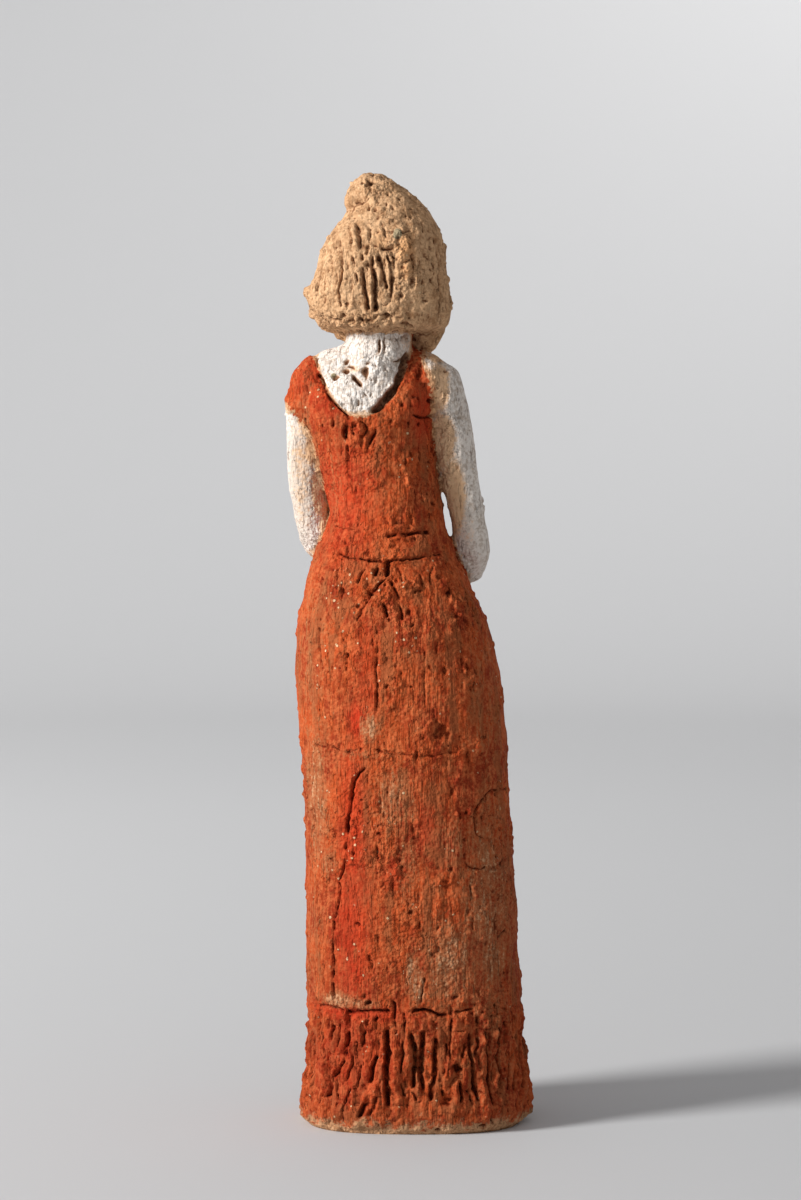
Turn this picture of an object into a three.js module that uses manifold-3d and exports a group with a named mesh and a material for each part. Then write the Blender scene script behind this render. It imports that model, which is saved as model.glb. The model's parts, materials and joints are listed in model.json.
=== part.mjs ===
// A standing woman in coarse fired clay, painted, built and fired as one piece.
// Millimetres, +Z up. She faces -Y and her left side is +X. The origin is the middle of the flat underside.

import * as THREE from "three";
import { mergeVertices } from "three/addons/utils/BufferGeometryUtils.js";
import Module from "manifold-3d";

const wasm = await Module();
wasm.setup();

// Driving dimensions
const HEIGHT = 400; // underside to the top of the topknot
const HEM_TOP = 45; // the cut line above the fringed hem
const WAISTBAND = { low: 238, high: 248 }; // its two incised lines
const LINE = { width: 1.6, depth: 0.9 }; // an incised line
const CLOTH = 1.8; // how far the dress stands out from the skin
const CLAY = new THREE.Color(0.56, 0.17, 0.07); // the orange-red slip on the dress

// Horizontal sections: height z, middle x, half width, reach behind (+Y) and before (-Y), and how
// square they are. The whole figure leans towards her left as it rises.
const DRESS = [
  { z: 0, x: 0, wide: 45.5, back: 33.5, front: 34.5, square: 2.7 },
  { z: 20, x: 0, wide: 44.6, back: 32.8, front: 34, square: 2.6 },
  { z: 45, x: 0, wide: 43.4, back: 31.5, front: 33, square: 2.5 },
  { z: 83, x: 1.6, wide: 44, back: 31.5, front: 32.5, square: 2.5 },
  { z: 124, x: 3, wide: 42.8, back: 31.5, front: 32, square: 2.4 },
  { z: 163, x: 5, wide: 43.4, back: 32.5, front: 32, square: 2.4 },
  { z: 190, x: 7.4, wide: 42.8, back: 33, front: 31, square: 2.4 },
  { z: 208, x: 9.2, wide: 40, back: 32, front: 29.5, square: 2.3 },
  { z: 223, x: 11, wide: 36, back: 28.5, front: 27.5, square: 2.3 },
  { z: 238, x: 12.9, wide: 30.6, back: 23.5, front: 25, square: 2.2 },
  { z: 248, x: 11.8, wide: 26.4, back: 20.5, front: 22, square: 2.2 },
  { z: 256, x: 11.4, wide: 24.1, back: 19, front: 19.5, square: 2.2 },
  { z: 270, x: 14.2, wide: 24, back: 19, front: 20, square: 2.3 },
  { z: 285, x: 18, wide: 25.6, back: 20, front: 23.5, square: 2.4 },
  { z: 300, x: 20, wide: 27, back: 20.5, front: 21.5, square: 2.4 },
  { z: 310, x: 19, wide: 27, back: 18.5, front: 17.5, square: 2.3 },
  { z: 317, x: 18, wide: 24, back: 15.5, front: 14, square: 2.2 },
  { z: 322, x: 17, wide: 17, back: 12, front: 11, square: 2.1 },
  { z: 325, x: 16, wide: 9, back: 8, front: 7, square: 2 },
];
const HAIR = [
  { z: 333.5, x: 13, wide: 23.5, back: 20, front: 8, square: 2.2 },
  { z: 335.5, x: 13.2, wide: 27, back: 24, front: 10, square: 2.3 },
  { z: 341, x: 14, wide: 29.2, back: 26, front: 12, square: 2.4 },
  { z: 349, x: 15.2, wide: 29.8, back: 26.5, front: 13.5, square: 2.4 },
  { z: 355, x: 14.4, wide: 28, back: 26.5, front: 14.5, square: 2.4 },
  { z: 362, x: 14, wide: 26.8, back: 26, front: 17, square: 2.3 },
  { z: 367, x: 13.6, wide: 26.2, back: 25, front: 20.5, square: 2.2 },
  { z: 372, x: 12.6, wide: 24.4, back: 23.5, front: 21, square: 2.2 },
  { z: 378, x: 11.8, wide: 20.4, back: 20.5, front: 19, square: 2.1 },
  { z: 384, x: 10.9, wide: 16.2, back: 17, front: 15.5, square: 2 },
  { z: 389, x: 11, wide: 11.2, back: 13, front: 12, square: 2 },
  { z: 393, x: 12.5, wide: 7.4, back: 9.5, front: 8.5, square: 2 },
  { z: 396, x: 14, wide: 4, back: 5, front: 4.5, square: 2 },
];

// The topknot, leaning to her left, with a thumb's dent in its crown.
const KNOT = { middle: [17.2, 0.5, 388.6], size: [10.8, 11.6, 11.4] };
const DENT = { middle: [17, 7, 400], size: [3.6, 3.4, 4] };

// The fringed hem: clay pressed on below a cut line and combed downwards, slanting more on her left.
const FRINGE = { flutes: 34, depth: 2.2, proud: 1.6, flare: 2, rounded: 0.9, slant: 0.016, wander: 0.45 };
// Locks combed into the hair, deepest behind and a little to her left.
const LOCKS = { count: 20, depth: 2, faint: 0.4, low: 337, high: 377, deepest: 1.15, wander: 0.4 };
// Shallow upright folds in the skirt.
const FOLDS = { count: 7, depth: 0.9, slant: 1 / 55, low: 60, high: 225 };

// Arms from the shoulder to the wrist, and the girdle of the shoulders. Radii run along the route.
const LEFT_ARM = {
  route: [
    [39, 0, 318],
    [44, -1, 306],
    [46, -2.5, 288],
    [45, -4, 268],
    [43, -6, 252],
    [39.5, -12, 241.5],
    [31.5, -22, 241.5],
    [20, -28.5, 243],
  ],
  radii: [8.2, 8.6, 8.6, 8.4, 8, 7.2, 6.4, 5],
};
const RIGHT_ARM = {
  route: [
    [-7, 0, 317],
    [-12.6, 0, 305],
    [-15.6, -1.5, 288],
    [-19.4, -3, 266],
    [-23, -5, 248],
    [-24, -11, 234.5],
    [-14, -23, 236],
    [3, -31, 241.5],
  ],
  radii: [8.6, 9, 8.8, 8.4, 7.8, 7.4, 6.4, 5],
};
const GIRDLE = {
  route: [
    [-18, 0, 304],
    [-9, 0, 311.5],
    [3, 0, 314.5],
    [17, 0, 316.5],
    [32, 0, 317],
    [41.5, -1, 312.5],
    [49, -1, 303],
  ],
  radii: [8.4, 10, 9.8, 10, 10.2, 9.4, 7.6],
};
const NECK = {
  route: [
    [17, 3, 300],
    [16, 1.5, 318],
    [14.8, 0, 334],
    [14, -1, 352],
  ],
  radii: [15, 15, 13.4, 13],
};
const SLEEVE_EDGE = { x: 49, z: 295, tilt: -42 }; // the cap sleeve's lower edge on her left arm, in degrees
const ARMHOLE = -9.5; // where the dress ends on her right shoulder
const NECKLINE = { left: 43.5, right: 1.8, middle: 21.5, low: 298.5, bend: 305, top: 318 };

// Hair parted over the brow falls on both sides of the face, her right side to the collarbone.
const RIGHT_LOCK = {
  route: [
    [8, -13.5, 373],
    [-2.5, -11.5, 364],
    [-6.4, -8.5, 352],
    [-6.6, -7.5, 341],
    [-4.6, -8, 332],
    [1, -9.5, 322.5],
  ],
  radii: [4, 6.4, 8.2, 8.4, 7, 4.6],
};
const LEFT_LOCK = {
  route: [
    [16, -13.5, 373],
    [29, -11.5, 363],
    [33.5, -9, 351],
    [32, -8.5, 341],
    [28.5, -9, 334],
    [26, -10.5, 328],
  ],
  radii: [4, 6, 7.6, 7, 5.2, 3.6],
};

// The middle of the face's egg, its turn and nod in degrees, its half sizes and its smallest ring.
const HEAD = { x: 13, y: -5, z: 353, turn: -7, nod: 4 };
const FACE = { wide: 14.5, deep: 17.5, tall: 21.5, pole: 0.12 };
const CROWDING = 0.62; // how far the egg's facets are drawn round to the face
// What stands out from the egg, or sinks in: place, spread and height, alike on both sides.
const FEATURES = [
  { x: 6, z: 5.2, wide: 3.4, tall: 1.6, out: 0.9 }, // brow
  { x: 5.8, z: 1.2, wide: 3, tall: 2.5, out: -2.2 }, // socket
  { x: 5.6, z: 0.9, wide: 2.2, tall: 1.4, out: 1.7 }, // lids
  { x: 0, z: 1.5, wide: 1.6, tall: 4, out: 1.8 }, // bridge of the nose
  { x: 0, z: -2.6, wide: 1.8, tall: 3, out: 1.7 }, // its back
  { x: 0, z: -6, wide: 2.2, tall: 2.2, out: 2.8 }, // its tip
  { x: 2.2, z: -7, wide: 1.3, tall: 1.4, out: 0.9 }, // its wings
  { x: 0, z: -11.3, wide: 3.4, tall: 1.1, out: 1.3 }, // upper lip
  { x: 0, z: -14, wide: 3, tall: 1.1, out: 1.3 }, // lower lip
  { x: 0, z: -18.8, wide: 3.8, tall: 2.8, out: 2.2 }, // chin
  { x: 8, z: -5, wide: 3.4, tall: 4, out: 0.8 }, // cheek
];
const FACE_ROWS = [-21.5, -20, -17.8, -15.6, -14, -12.7, -11.3, -9.4, -7.6, -6, -4, -1.6];
FACE_ROWS.push(0.9, 2.6, 5.2, 8.5, 13, 18, 21.5);

// Hands folded before the belly, the right over the left.
const PALM = [8, 4, 6.4];
// Fingers from the forefinger down, and the thumb, from the middle of the palm and along the hand.
const FINGERS = { reach: [11, 12.5, 12, 9.5], pitch: 3.1, radius: 1.9, start: 3.5, arch: 1.6, droop: 1.6 };
const THUMB = {
  route: [
    [-2, -1, 4],
    [3, -1.5, 8],
    [9, -1, 8],
  ],
  radii: [2.4, 2.2, 1.8],
};
const HANDS = [
  { middle: [8, -31.5, 242.5], way: 1 },
  { middle: [17, -27.5, 243.5], way: -1 },
];

// How many facets go round each kind of body, and how finely a limb's curve is followed for its twist.
const AROUND = { dress: 38, skin: 24, hair: 60, arm: 12, neck: 16, face: 32, finger: 6 };
const FRAMES = 120;

// A smooth function of height through a list of sections.
function sectionsOf(list) {
  const keys = ["x", "wide", "back", "front", "square"];
  const heights = list.map((s) => s.z);
  const values = list.flatMap((s) => keys.map((k) => s[k]));
  const curve = new THREE.CubicInterpolant(heights, values, keys.length);
  return (z) => {
    const [x, wide, back, front, square] = curve.evaluate(z);
    return { x, wide, back, front, square };
  };
}

// The point at one angle of a section. Reach is 0 at the middle and 1 on the outline; out moves it outwards.
function pointOn(section, angle, z, reach = 1, out = 0) {
  const c = Math.cos(angle);
  const s = Math.sin(angle);
  const n = section.square;
  const r = Math.pow(Math.abs(c) ** n + Math.abs(s) ** n, -1 / n) * reach;
  const deep = s > 0 ? section.back : section.front;
  return new THREE.Vector3(section.x + (section.wide * r + out) * c, (deep * r + out) * s, z);
}

// A closed body through the given heights: a cylinder whose every ring is moved onto its section.
function loft(around, heights, place) {
  const rows = heights.length - 1;
  const geometry = new THREE.CylinderGeometry(1, 1, 1, around, rows).rotateX(Math.PI / 2);
  const position = geometry.getAttribute("position");
  for (let i = 0; i < position.count; i++) {
    const angle = Math.atan2(position.getY(i), position.getX(i));
    const reach = Math.round(Math.hypot(position.getX(i), position.getY(i)));
    const row = Math.round((position.getZ(i) + 0.5) * rows);
    const p = place(angle, heights[row], reach);
    position.setXYZ(i, p.x, p.y, p.z);
  }
  return geometry;
}

// A rounded limb: a ball drawn out along a curve, with its own radius all along, and its rings
// closer together at its ends.
function limb({ route, radii }, around = AROUND.arm, along = 16, out = 0) {
  const curve = new THREE.CatmullRomCurve3(route.map((p) => new THREE.Vector3(...p)));
  const places = radii.map((_, i) => i / (radii.length - 1));
  const radiusAt = new THREE.CubicInterpolant(places, radii, 1);
  const length = curve.getLength();
  const frames = curve.computeFrenetFrames(FRAMES);
  const geometry = new THREE.SphereGeometry(1, around, along).rotateX(Math.PI / 2);
  const position = geometry.getAttribute("position");
  for (let i = 0; i < position.count; i++) {
    const level = THREE.MathUtils.clamp(position.getZ(i), -1, 1);
    const share = 0.6 * (Math.acos(-level) / Math.PI) + 0.2 * (level + 1);
    const radius = radiusAt.evaluate(share)[0] + out;
    const toEnd = Math.min(share, 1 - share) * length;
    const round = toEnd < radius ? Math.sqrt(1 - (1 - toEnd / radius) ** 2) : 1;
    const ring = Math.atan2(position.getY(i), position.getX(i));
    const frame = Math.round(share * FRAMES);
    const p = curve
      .getPointAt(share)
      .addScaledVector(frames.normals[frame], Math.cos(ring) * radius * round)
      .addScaledVector(frames.binormals[frame], Math.sin(ring) * radius * round);
    position.setXYZ(i, p.x, p.y, p.z);
  }
  return geometry;
}

// A ball of clay pressed to three half sizes, at a place.
function pellet([x, y, z], [wide, deep, tall], around = 8, along = 6) {
  const geometry = new THREE.SphereGeometry(1, around, along).rotateX(Math.PI / 2);
  return geometry.scale(wide, deep, tall).translate(x, y, z);
}

function solid(geometry) {
  geometry.deleteAttribute("normal");
  geometry.deleteAttribute("uv");
  const merged = mergeVertices(geometry, 1e-3);
  const made = new wasm.Manifold(
    new wasm.Mesh({
      numProp: 3,
      vertProperties: merged.getAttribute("position").array,
      triVerts: new Uint32Array(merged.index.array),
    }),
  );
  if (made.volume() < 0) throw new Error("a body is inside out");
  return made;
}

// The groove between two neighbouring flutes, at a share of a turn: 1 in its bottom and 0 on a flute's crest.
function flute(turn) {
  return 0.5 - 0.5 * Math.cos(2 * Math.PI * turn);
}

const { smoothstep, degToRad } = THREE.MathUtils;
const dressAt = sectionsOf(DRESS);
const hairAt = sectionsOf(HAIR);

// The dress from the hem to the shoulders.
function gown() {
  const { low, high } = WAISTBAND;
  const half = LINE.width / 2;
  const heights = [43, HEM_TOP + half, HEM_TOP + 2 * LINE.width, 68, 100, 133, 163, 184, 201, 215, 227];
  heights.push(low - half, low, low + half, high - half, high, high + half);
  heights.push(258, 270, 283, 296, 307, 315, 321);
  return loft(AROUND.dress, heights, (angle, z, reach) => {
    const incised = z === low || z === high || z === HEM_TOP + half ? -LINE.depth : 0;
    const above = smoothstep(z, FOLDS.low, FOLDS.low + 50);
    const skirt = above * (1 - smoothstep(z, FOLDS.high - 35, FOLDS.high));
    const fold = FOLDS.depth * skirt * Math.sin(FOLDS.count * angle + FOLDS.slant * z);
    return pointOn(dressAt(z), angle, z, reach, reach * (incised + fold));
  });
}

// The back, chest and shoulders under the dress.
function skin() {
  const under = loft(AROUND.skin, [286, 300, 311, 319], (angle, z, reach) =>
    pointOn(dressAt(z), angle, z, reach, -reach * CLOTH),
  );
  return [under, limb(GIRDLE, AROUND.arm, 14), limb(NECK, AROUND.neck, 7)];
}

// Everything that the scooped neckline takes out of the dress, before and behind.
function scoop() {
  const { left, right, middle, low, bend, top } = NECKLINE;
  const outline = new THREE.Shape();
  outline.moveTo(right, HEIGHT);
  outline.lineTo(right, top);
  outline.bezierCurveTo(right + 3, bend, middle - 10, low, middle, low);
  outline.bezierCurveTo(middle + 10, low, left - 3, bend, left, top);
  outline.lineTo(left, HEIGHT);
  outline.closePath();
  const depth = 80;
  const geometry = new THREE.ExtrudeGeometry(outline, { depth, bevelEnabled: false, curveSegments: 9 });
  return geometry.rotateX(Math.PI / 2).translate(0, depth / 2, 0);
}

// A block that fills one side of a place, turned about Y.
function block(x, z, tilt, [sideways, down]) {
  const size = 100;
  const geometry = new THREE.BoxGeometry(size, size, size);
  geometry.translate((sideways * size) / 2, 0, (down * size) / 2);
  return geometry.rotateY(degToRad(tilt)).translate(x, 0, z);
}

// Gown, shoulder pieces and cap sleeve, with the neckline and her right armhole cut out.
function dress() {
  const { x, z, tilt } = SLEEVE_EDGE;
  const armhole = solid(block(ARMHOLE, 320, 0, [-1, 0]));
  const edge = solid(block(x, z, tilt, [0, -1]));
  const shoulders = solid(limb(GIRDLE, AROUND.arm, 14, CLOTH)).subtract(armhole);
  const sleeve = solid(limb(LEFT_ARM, AROUND.arm, 16, CLOTH / 2)).subtract(edge);
  return wasm.Manifold.union([solid(gown()), shoulders, sleeve]).subtract(solid(scoop()));
}

// The hem stands proud of the skirt, flares to the foot and is combed into uneven flutes.
function hem() {
  const { flutes, depth, proud, flare, rounded, slant, wander } = FRINGE;
  const heights = [0, 2.2, 8, 22, HEM_TOP - 4, HEM_TOP];
  return loft(flutes * 3, heights, (angle, z, reach) => {
    const spread = flare * (1 - smoothstep(z, 0, 26));
    const edge = z === 0 || z === HEM_TOP ? -rounded : 0;
    const combed = smoothstep(z, 3, 16) * (0.75 + 0.25 * Math.sin(5 * angle));
    const even = (angle / (2 * Math.PI)) * flutes;
    const turn = even + wander * Math.sin(4 * angle) + slant * z * (1 + Math.cos(angle));
    const out = proud + spread + edge - depth * combed * flute(turn);
    return pointOn(dressAt(z), angle, z, reach, reach * out);
  });
}

function hair() {
  const { count, depth, faint, low, high, deepest, wander } = LOCKS;
  const heights = [333.5, 335.5, 341, 349, 356, 363, 369, 376, 382, 388, 393, 397];
  return loft(AROUND.hair, heights, (angle, z, reach) => {
    const combed = smoothstep(z, low - 3, low + 4) * (1 - smoothstep(z, high - 14, high));
    const side = faint + (1 - faint) * Math.max(0, Math.cos(angle - deepest));
    const turn = (angle / (2 * Math.PI)) * count + wander * Math.sin(3 * angle);
    return pointOn(hairAt(z), angle, z, reach, -reach * depth * combed * side * flute(turn));
  });
}

// How far the face stands out from its egg at a point of its front.
function featureAt(x, z) {
  return FEATURES.reduce((sum, f) => {
    const away = ((Math.abs(x) - f.x) / f.wide) ** 2 + ((z - f.z) / f.tall) ** 2;
    return sum + f.out * Math.exp(-away);
  }, 0);
}

// The head under the hair, in its own frame, with its rings crowded towards the face.
function face() {
  const { wide, deep, tall, pole } = FACE;
  return loft(AROUND.face, FACE_ROWS, (angle, z, reach) => {
    const from = Math.atan2(Math.cos(angle), -Math.sin(angle));
    const crowded = from - CROWDING * Math.sin(from);
    const ring = Math.max(pole, Math.sqrt(Math.max(0, 1 - (z / tall) ** 2))) * reach;
    const x = wide * ring * Math.sin(crowded);
    const front = Math.max(0, Math.cos(crowded)) * reach;
    return new THREE.Vector3(x, -deep * ring * Math.cos(crowded) - featureAt(x, z) * front, z);
  });
}

// A palm, four fingers and a thumb, pointing to one side.
function hand({ middle, way }) {
  const { reach, pitch, radius, start, arch, droop } = FINGERS;
  const at = ([along, y, z]) => [middle[0] + way * along, middle[1] + y, middle[2] + z];
  const digit = (route, radii) => limb({ route: route.map(at), radii }, AROUND.finger, 5);
  const pieces = [pellet(middle, PALM, 10, 6), digit(THUMB.route, THUMB.radii)];
  reach.forEach((length, i) => {
    const level = (1.5 - i) * pitch;
    const knuckle = [start, -1, level];
    const joint = [start + length / 2, -arch, level];
    const tip = [start + length, 1, level - droop];
    pieces.push(digit([knuckle, joint, tip], [radius, radius, radius * 0.85]));
  });
  return pieces;
}

function figure() {
  const { x, y, z, turn, nod } = HEAD;
  const headPlace = new THREE.Matrix4();
  headPlace.makeRotationFromEuler(new THREE.Euler(degToRad(nod), 0, degToRad(turn)));
  headPlace.setPosition(x, y, z);
  const knotBall = solid(pellet(KNOT.middle, KNOT.size, 18, 12));
  const knot = knotBall.subtract(solid(pellet(DENT.middle, DENT.size)));
  const joined = [
    ...skin(),
    hem(),
    hair(),
    face().applyMatrix4(headPlace),
    limb(RIGHT_LOCK, AROUND.arm, 10),
    limb(LEFT_LOCK, AROUND.arm, 10),
    limb(LEFT_ARM),
    limb(RIGHT_ARM),
    ...HANDS.flatMap(hand),
  ].map(solid);
  return wasm.Manifold.union([...joined, knot, dress()]);
}

function meshOf(name, body, material) {
  const { vertProperties, triVerts, numProp } = body.getMesh();
  const position = new Float32Array((vertProperties.length / numProp) * 3);
  for (let i = 0; i < position.length / 3; i++)
    position.set(vertProperties.subarray(i * numProp, i * numProp + 3), i * 3);
  const geometry = new THREE.BufferGeometry();
  geometry.setAttribute("position", new THREE.BufferAttribute(position, 3));
  geometry.setIndex(new THREE.BufferAttribute(triVerts, 1));
  geometry.computeVertexNormals();
  const mesh = new THREE.Mesh(geometry, material);
  mesh.name = name;
  return mesh;
}

const part = new THREE.Group();
const firedClay = new THREE.MeshStandardMaterial({ color: CLAY, roughness: 0.9, metalness: 0 });
part.add(meshOf("figure", figure(), firedClay));

export default part;
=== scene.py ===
import json
import math

import bpy
import numpy as np
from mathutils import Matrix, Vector

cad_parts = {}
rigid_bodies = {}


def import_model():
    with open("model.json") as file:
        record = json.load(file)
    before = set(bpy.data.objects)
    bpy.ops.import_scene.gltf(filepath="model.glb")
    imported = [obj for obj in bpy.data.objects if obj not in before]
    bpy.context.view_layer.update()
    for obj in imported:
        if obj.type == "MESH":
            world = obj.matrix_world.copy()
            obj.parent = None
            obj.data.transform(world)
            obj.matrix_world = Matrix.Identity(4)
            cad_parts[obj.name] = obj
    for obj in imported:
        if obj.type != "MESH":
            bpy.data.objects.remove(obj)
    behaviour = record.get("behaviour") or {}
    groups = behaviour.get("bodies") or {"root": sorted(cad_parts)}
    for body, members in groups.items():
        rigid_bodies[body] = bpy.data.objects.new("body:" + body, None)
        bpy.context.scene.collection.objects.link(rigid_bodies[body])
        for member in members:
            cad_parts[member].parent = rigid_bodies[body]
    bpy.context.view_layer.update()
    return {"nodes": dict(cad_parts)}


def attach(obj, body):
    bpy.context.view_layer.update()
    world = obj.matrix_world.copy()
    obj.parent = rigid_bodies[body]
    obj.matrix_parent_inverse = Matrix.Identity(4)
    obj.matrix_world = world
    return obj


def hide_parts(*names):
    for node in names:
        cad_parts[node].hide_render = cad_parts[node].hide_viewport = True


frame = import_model()
print("frame loaded")


# A fired clay figure of a standing woman, seen in the photograph from behind. Lengths for the
# modelling are in millimetres; the object itself is in metres.

studio = {
    "lens": 90,
    "cameraAt": (0.00617, 1.263, 0.2865),
    "cameraTurn": (87, 0, 180),  # degrees
    "sweepFlat": 1.9,  # metres of level floor before the figure, up to where the backdrop rises
    "sweepFlatRound": 3.0,  # and on the other sides
    "sweepSize": 12,
    "paper": (0.72, 0.72, 0.723),
    # The paper nearer the camera and at the foot of the key light is coloured darker: painted shade.
    "paperNearPaintedShade": (0.56, 0.56, 0.563),
    "paperUnderKeyPaintedShade": (0.14, 0.14, 0.141),
    "wallLightAt": (-1.1, -2.7, 2.3),
    "wallLightSize": 0.8,
    "wallPower": 14,
    "wallAim": (-0.7, -4.2, 1.3),
    "keyAt": (2.87, 1.32, 1.45),
    "keySize": 0.9,
    "keyPower": 164,
    "ambient": (0.80, 0.80, 0.81),
    "ambientStrength": 0.53,
}


def deselect():
    bpy.ops.object.select_all(action="DESELECT")


def choose(obj):
    deselect()
    obj.select_set(True)
    bpy.context.view_layer.objects.active = obj


def areaLight(name, at, size, power, aim=(0, 0, 0.2)):
    bpy.ops.object.light_add(type="AREA", location=at)
    lamp = bpy.context.object
    lamp.name = name
    lamp.data.shape = "DISK"
    lamp.data.size = size
    lamp.data.energy = power
    lamp.visible_camera = False
    lamp.rotation_euler = (Vector(aim) - Vector(at)).to_track_quat("-Z", "Y").to_euler()


deselect()
bpy.ops.object.camera_add(location=studio["cameraAt"])
camera = bpy.context.object
camera.rotation_euler = [math.radians(a) for a in studio["cameraTurn"]]
camera.data.lens = studio["lens"]
camera.data.clip_start = 0.05
camera.data.clip_end = 40
bpy.context.scene.camera = camera
areaLight("key", studio["keyAt"], studio["keySize"], studio["keyPower"])
areaLight("wall", studio["wallLightAt"], studio["wallLightSize"], studio["wallPower"], studio["wallAim"])

world = bpy.data.worlds.new("studioAir")
bpy.context.scene.world = world
world.use_nodes = True
air = world.node_tree.nodes["Background"]
air.inputs["Color"].default_value = (*studio["ambient"], 1)
air.inputs["Strength"].default_value = studio["ambientStrength"]
bpy.context.scene.view_settings.view_transform = "Standard"
bpy.context.scene.view_settings.look = "None"

bpy.ops.mesh.primitive_grid_add(size=studio["sweepSize"], x_subdivisions=160, y_subdivisions=160)
sweep = bpy.context.object
sweep.name = "sweep"
for v in sweep.data.vertices:
    away = math.hypot(v.co.x, v.co.y)
    turned = min(1, max(0, (v.co.y / max(away, 0.01) + 0.9) / 0.5))  # 0 before the figure
    flat = studio["sweepFlat"] + (studio["sweepFlatRound"] - studio["sweepFlat"]) * turned**2
    v.co.z = 0.35 * max(0, away - flat) ** 2
sweep.data.polygons.foreach_set("use_smooth", [True] * len(sweep.data.polygons))
print("studio set")


clay = {
    "voxel": 0.55,  # how fine the clay is worked
    "backTriangles": 126000,
    "frontTriangles": 36000,  # without the face and hands, which keep all of theirs
    "smoothing": 120,  # rounds that take the facets out of arms, neck and torso
    "crisp": 0.05,  # how much of that the face and hands get
}

# Level sections of the skirt and of the hair: height, middle, half width, reach behind and
# before, and how square.
skirtRows = [
    (0, 0.6, 45.0, 32.0, 33.0, 2.7),
    (3, 0.4, 46.9, 34.2, 35.2, 2.7),
    (7, 0.0, 48.2, 35.4, 36.4, 2.7),
    (12, -0.2, 48.1, 35.2, 36.2, 2.6),
    (21, -0.8, 46.4, 34.0, 35.2, 2.6),
    (30, -0.6, 45.2, 33.2, 34.4, 2.5),
    (46, 0.0, 44.6, 32.4, 33.6, 2.5),
    (60, 1.0, 45.0, 31.8, 32.8, 2.5),
    (83, 1.6, 44.7, 31.8, 32.6, 2.5),
    (103, 1.8, 43.9, 31.7, 32.3, 2.45),
    (124, 3.0, 43.3, 31.7, 32.1, 2.4),
    (143, 3.8, 43.2, 32.1, 32.1, 2.4),
    (163, 5.0, 43.8, 32.6, 32.0, 2.4),
    (176, 6.3, 43.7, 33.0, 31.6, 2.4),
    (190, 7.4, 43.1, 33.0, 31.0, 2.4),
    (208, 9.2, 40.4, 32.0, 29.5, 2.3),
    (223, 11.0, 36.4, 28.6, 27.5, 2.3),
    (238, 12.9, 30.8, 23.6, 25.0, 2.2),
    (248, 11.8, 26.5, 20.6, 22.0, 2.2),
    (256, 11.4, 24.2, 19.0, 19.5, 2.2),
    (270, 14.2, 24.1, 19.0, 20.0, 2.3),
    (285, 18.0, 25.6, 20.0, 23.5, 2.4),
    (300, 20.0, 27.0, 20.5, 21.5, 2.4),
    (310, 19.0, 27.0, 18.5, 17.5, 2.3),
    (317, 18.0, 24.0, 15.5, 14.0, 2.2),
    (325, 16.0, 9.0, 8.0, 7.0, 2.0),
]
hairRows = [
    (333.5, 13.0, 23.5, 20.0, 8.0, 2.2),
    (335.5, 13.2, 27.0, 24.0, 10.0, 2.3),
    (341, 14.0, 29.2, 26.0, 12.0, 2.4),
    (349, 15.2, 29.8, 26.5, 13.5, 2.4),
    (355, 14.4, 28.0, 26.5, 14.5, 2.4),
    (362, 14.0, 26.8, 26.0, 17.0, 2.3),
    (367, 13.6, 26.2, 25.0, 20.5, 2.2),
    (372, 12.6, 24.4, 23.5, 21.0, 2.2),
    (378, 11.8, 20.4, 20.5, 19.0, 2.1),
    (384, 10.9, 16.2, 17.0, 15.5, 2.0),
    (389, 11.0, 11.2, 13.0, 12.0, 2.0),
]
leftArm = {
    "route": [
        (39, 0, 318), (44, -1, 306), (46, -2.5, 288), (45, -4, 268), (43, -6, 252),
        (39.5, -12, 241.5), (31.5, -22, 241.5), (20, -28.5, 243),
    ],
    "radii": [8.2, 8.6, 8.6, 8.4, 8, 7.2, 6.4, 5],
}  # fmt: skip
rightArm = {
    "route": [
        (-7, 0, 317), (-12.6, 0, 305), (-15.6, -1.5, 288), (-19.4, -3, 266), (-23, -5, 248),
        (-24, -11, 234.5), (-14, -23, 236), (3, -31, 241.5),
    ],
    "radii": [8.6, 9, 8.8, 8.4, 7.8, 7.4, 6.4, 5],
}  # fmt: skip
rightLock = {
    "route": [(8, -13.5, 373), (-2.5, -11.5, 364), (-6.4, -8.5, 352), (-6.6, -7.5, 341), (-4.6, -8, 332), (1, -9.5, 322.5)],
    "radii": [4, 6.4, 8.2, 8.4, 7, 4.6],
}
leftLock = {
    "route": [(16, -13.5, 373), (29, -11.5, 363), (33.5, -9, 351), (32, -8.5, 341), (28.5, -9, 334), (26, -10.5, 328)],
    "radii": [4, 6, 7.6, 7, 5.2, 3.6],
}
face = {"middle": (13, -5, 353), "size": (16.5, 20.5, 23.5), "before": -9}
hands = {"before": -21.5, "low": 229, "high": 257}


def noise(points, size, seed):
    # Smooth noise from -1 to 1 on a lattice; size is one length or three.
    lattice = np.random.default_rng(seed).random((48, 48, 48)) * 2 - 1
    place = points / np.asarray(size, float) + 200
    cell = np.floor(place).astype(int)
    share = place - cell
    share = share * share * (3 - 2 * share)
    total = np.zeros(len(points))
    for corner in np.ndindex(2, 2, 2):
        at = (cell + corner) % 48
        weight = np.prod(np.where(corner, share, 1 - share), axis=1)
        total += weight * lattice[at[:, 0], at[:, 1], at[:, 2]]
    return total


def billow(points, size, seed):
    # Rounded swellings with sharp creases between them.
    return 2.4 * np.abs(noise(points, size, seed)) - 0.6


def smoothStep(value, low, high):
    t = np.clip((value - low) / (high - low), 0, 1)
    return t * t * (3 - 2 * t)


def sectionReach(points, rows):
    # How far out of a lofted body each point is: 1 on its surface. Also the body's middle there.
    rows = np.array(rows)
    middle, wide, back, front, square = (
        np.interp(points[:, 2], rows[:, 0], rows[:, i]) for i in range(1, 6)
    )
    across = np.abs(points[:, 0] - middle) / wide
    deep = np.abs(points[:, 1]) / np.where(points[:, 1] > 0, back, front)
    reach = (across**square + deep**square) ** (1 / square)
    return reach, middle, np.minimum(wide, back)


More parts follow.
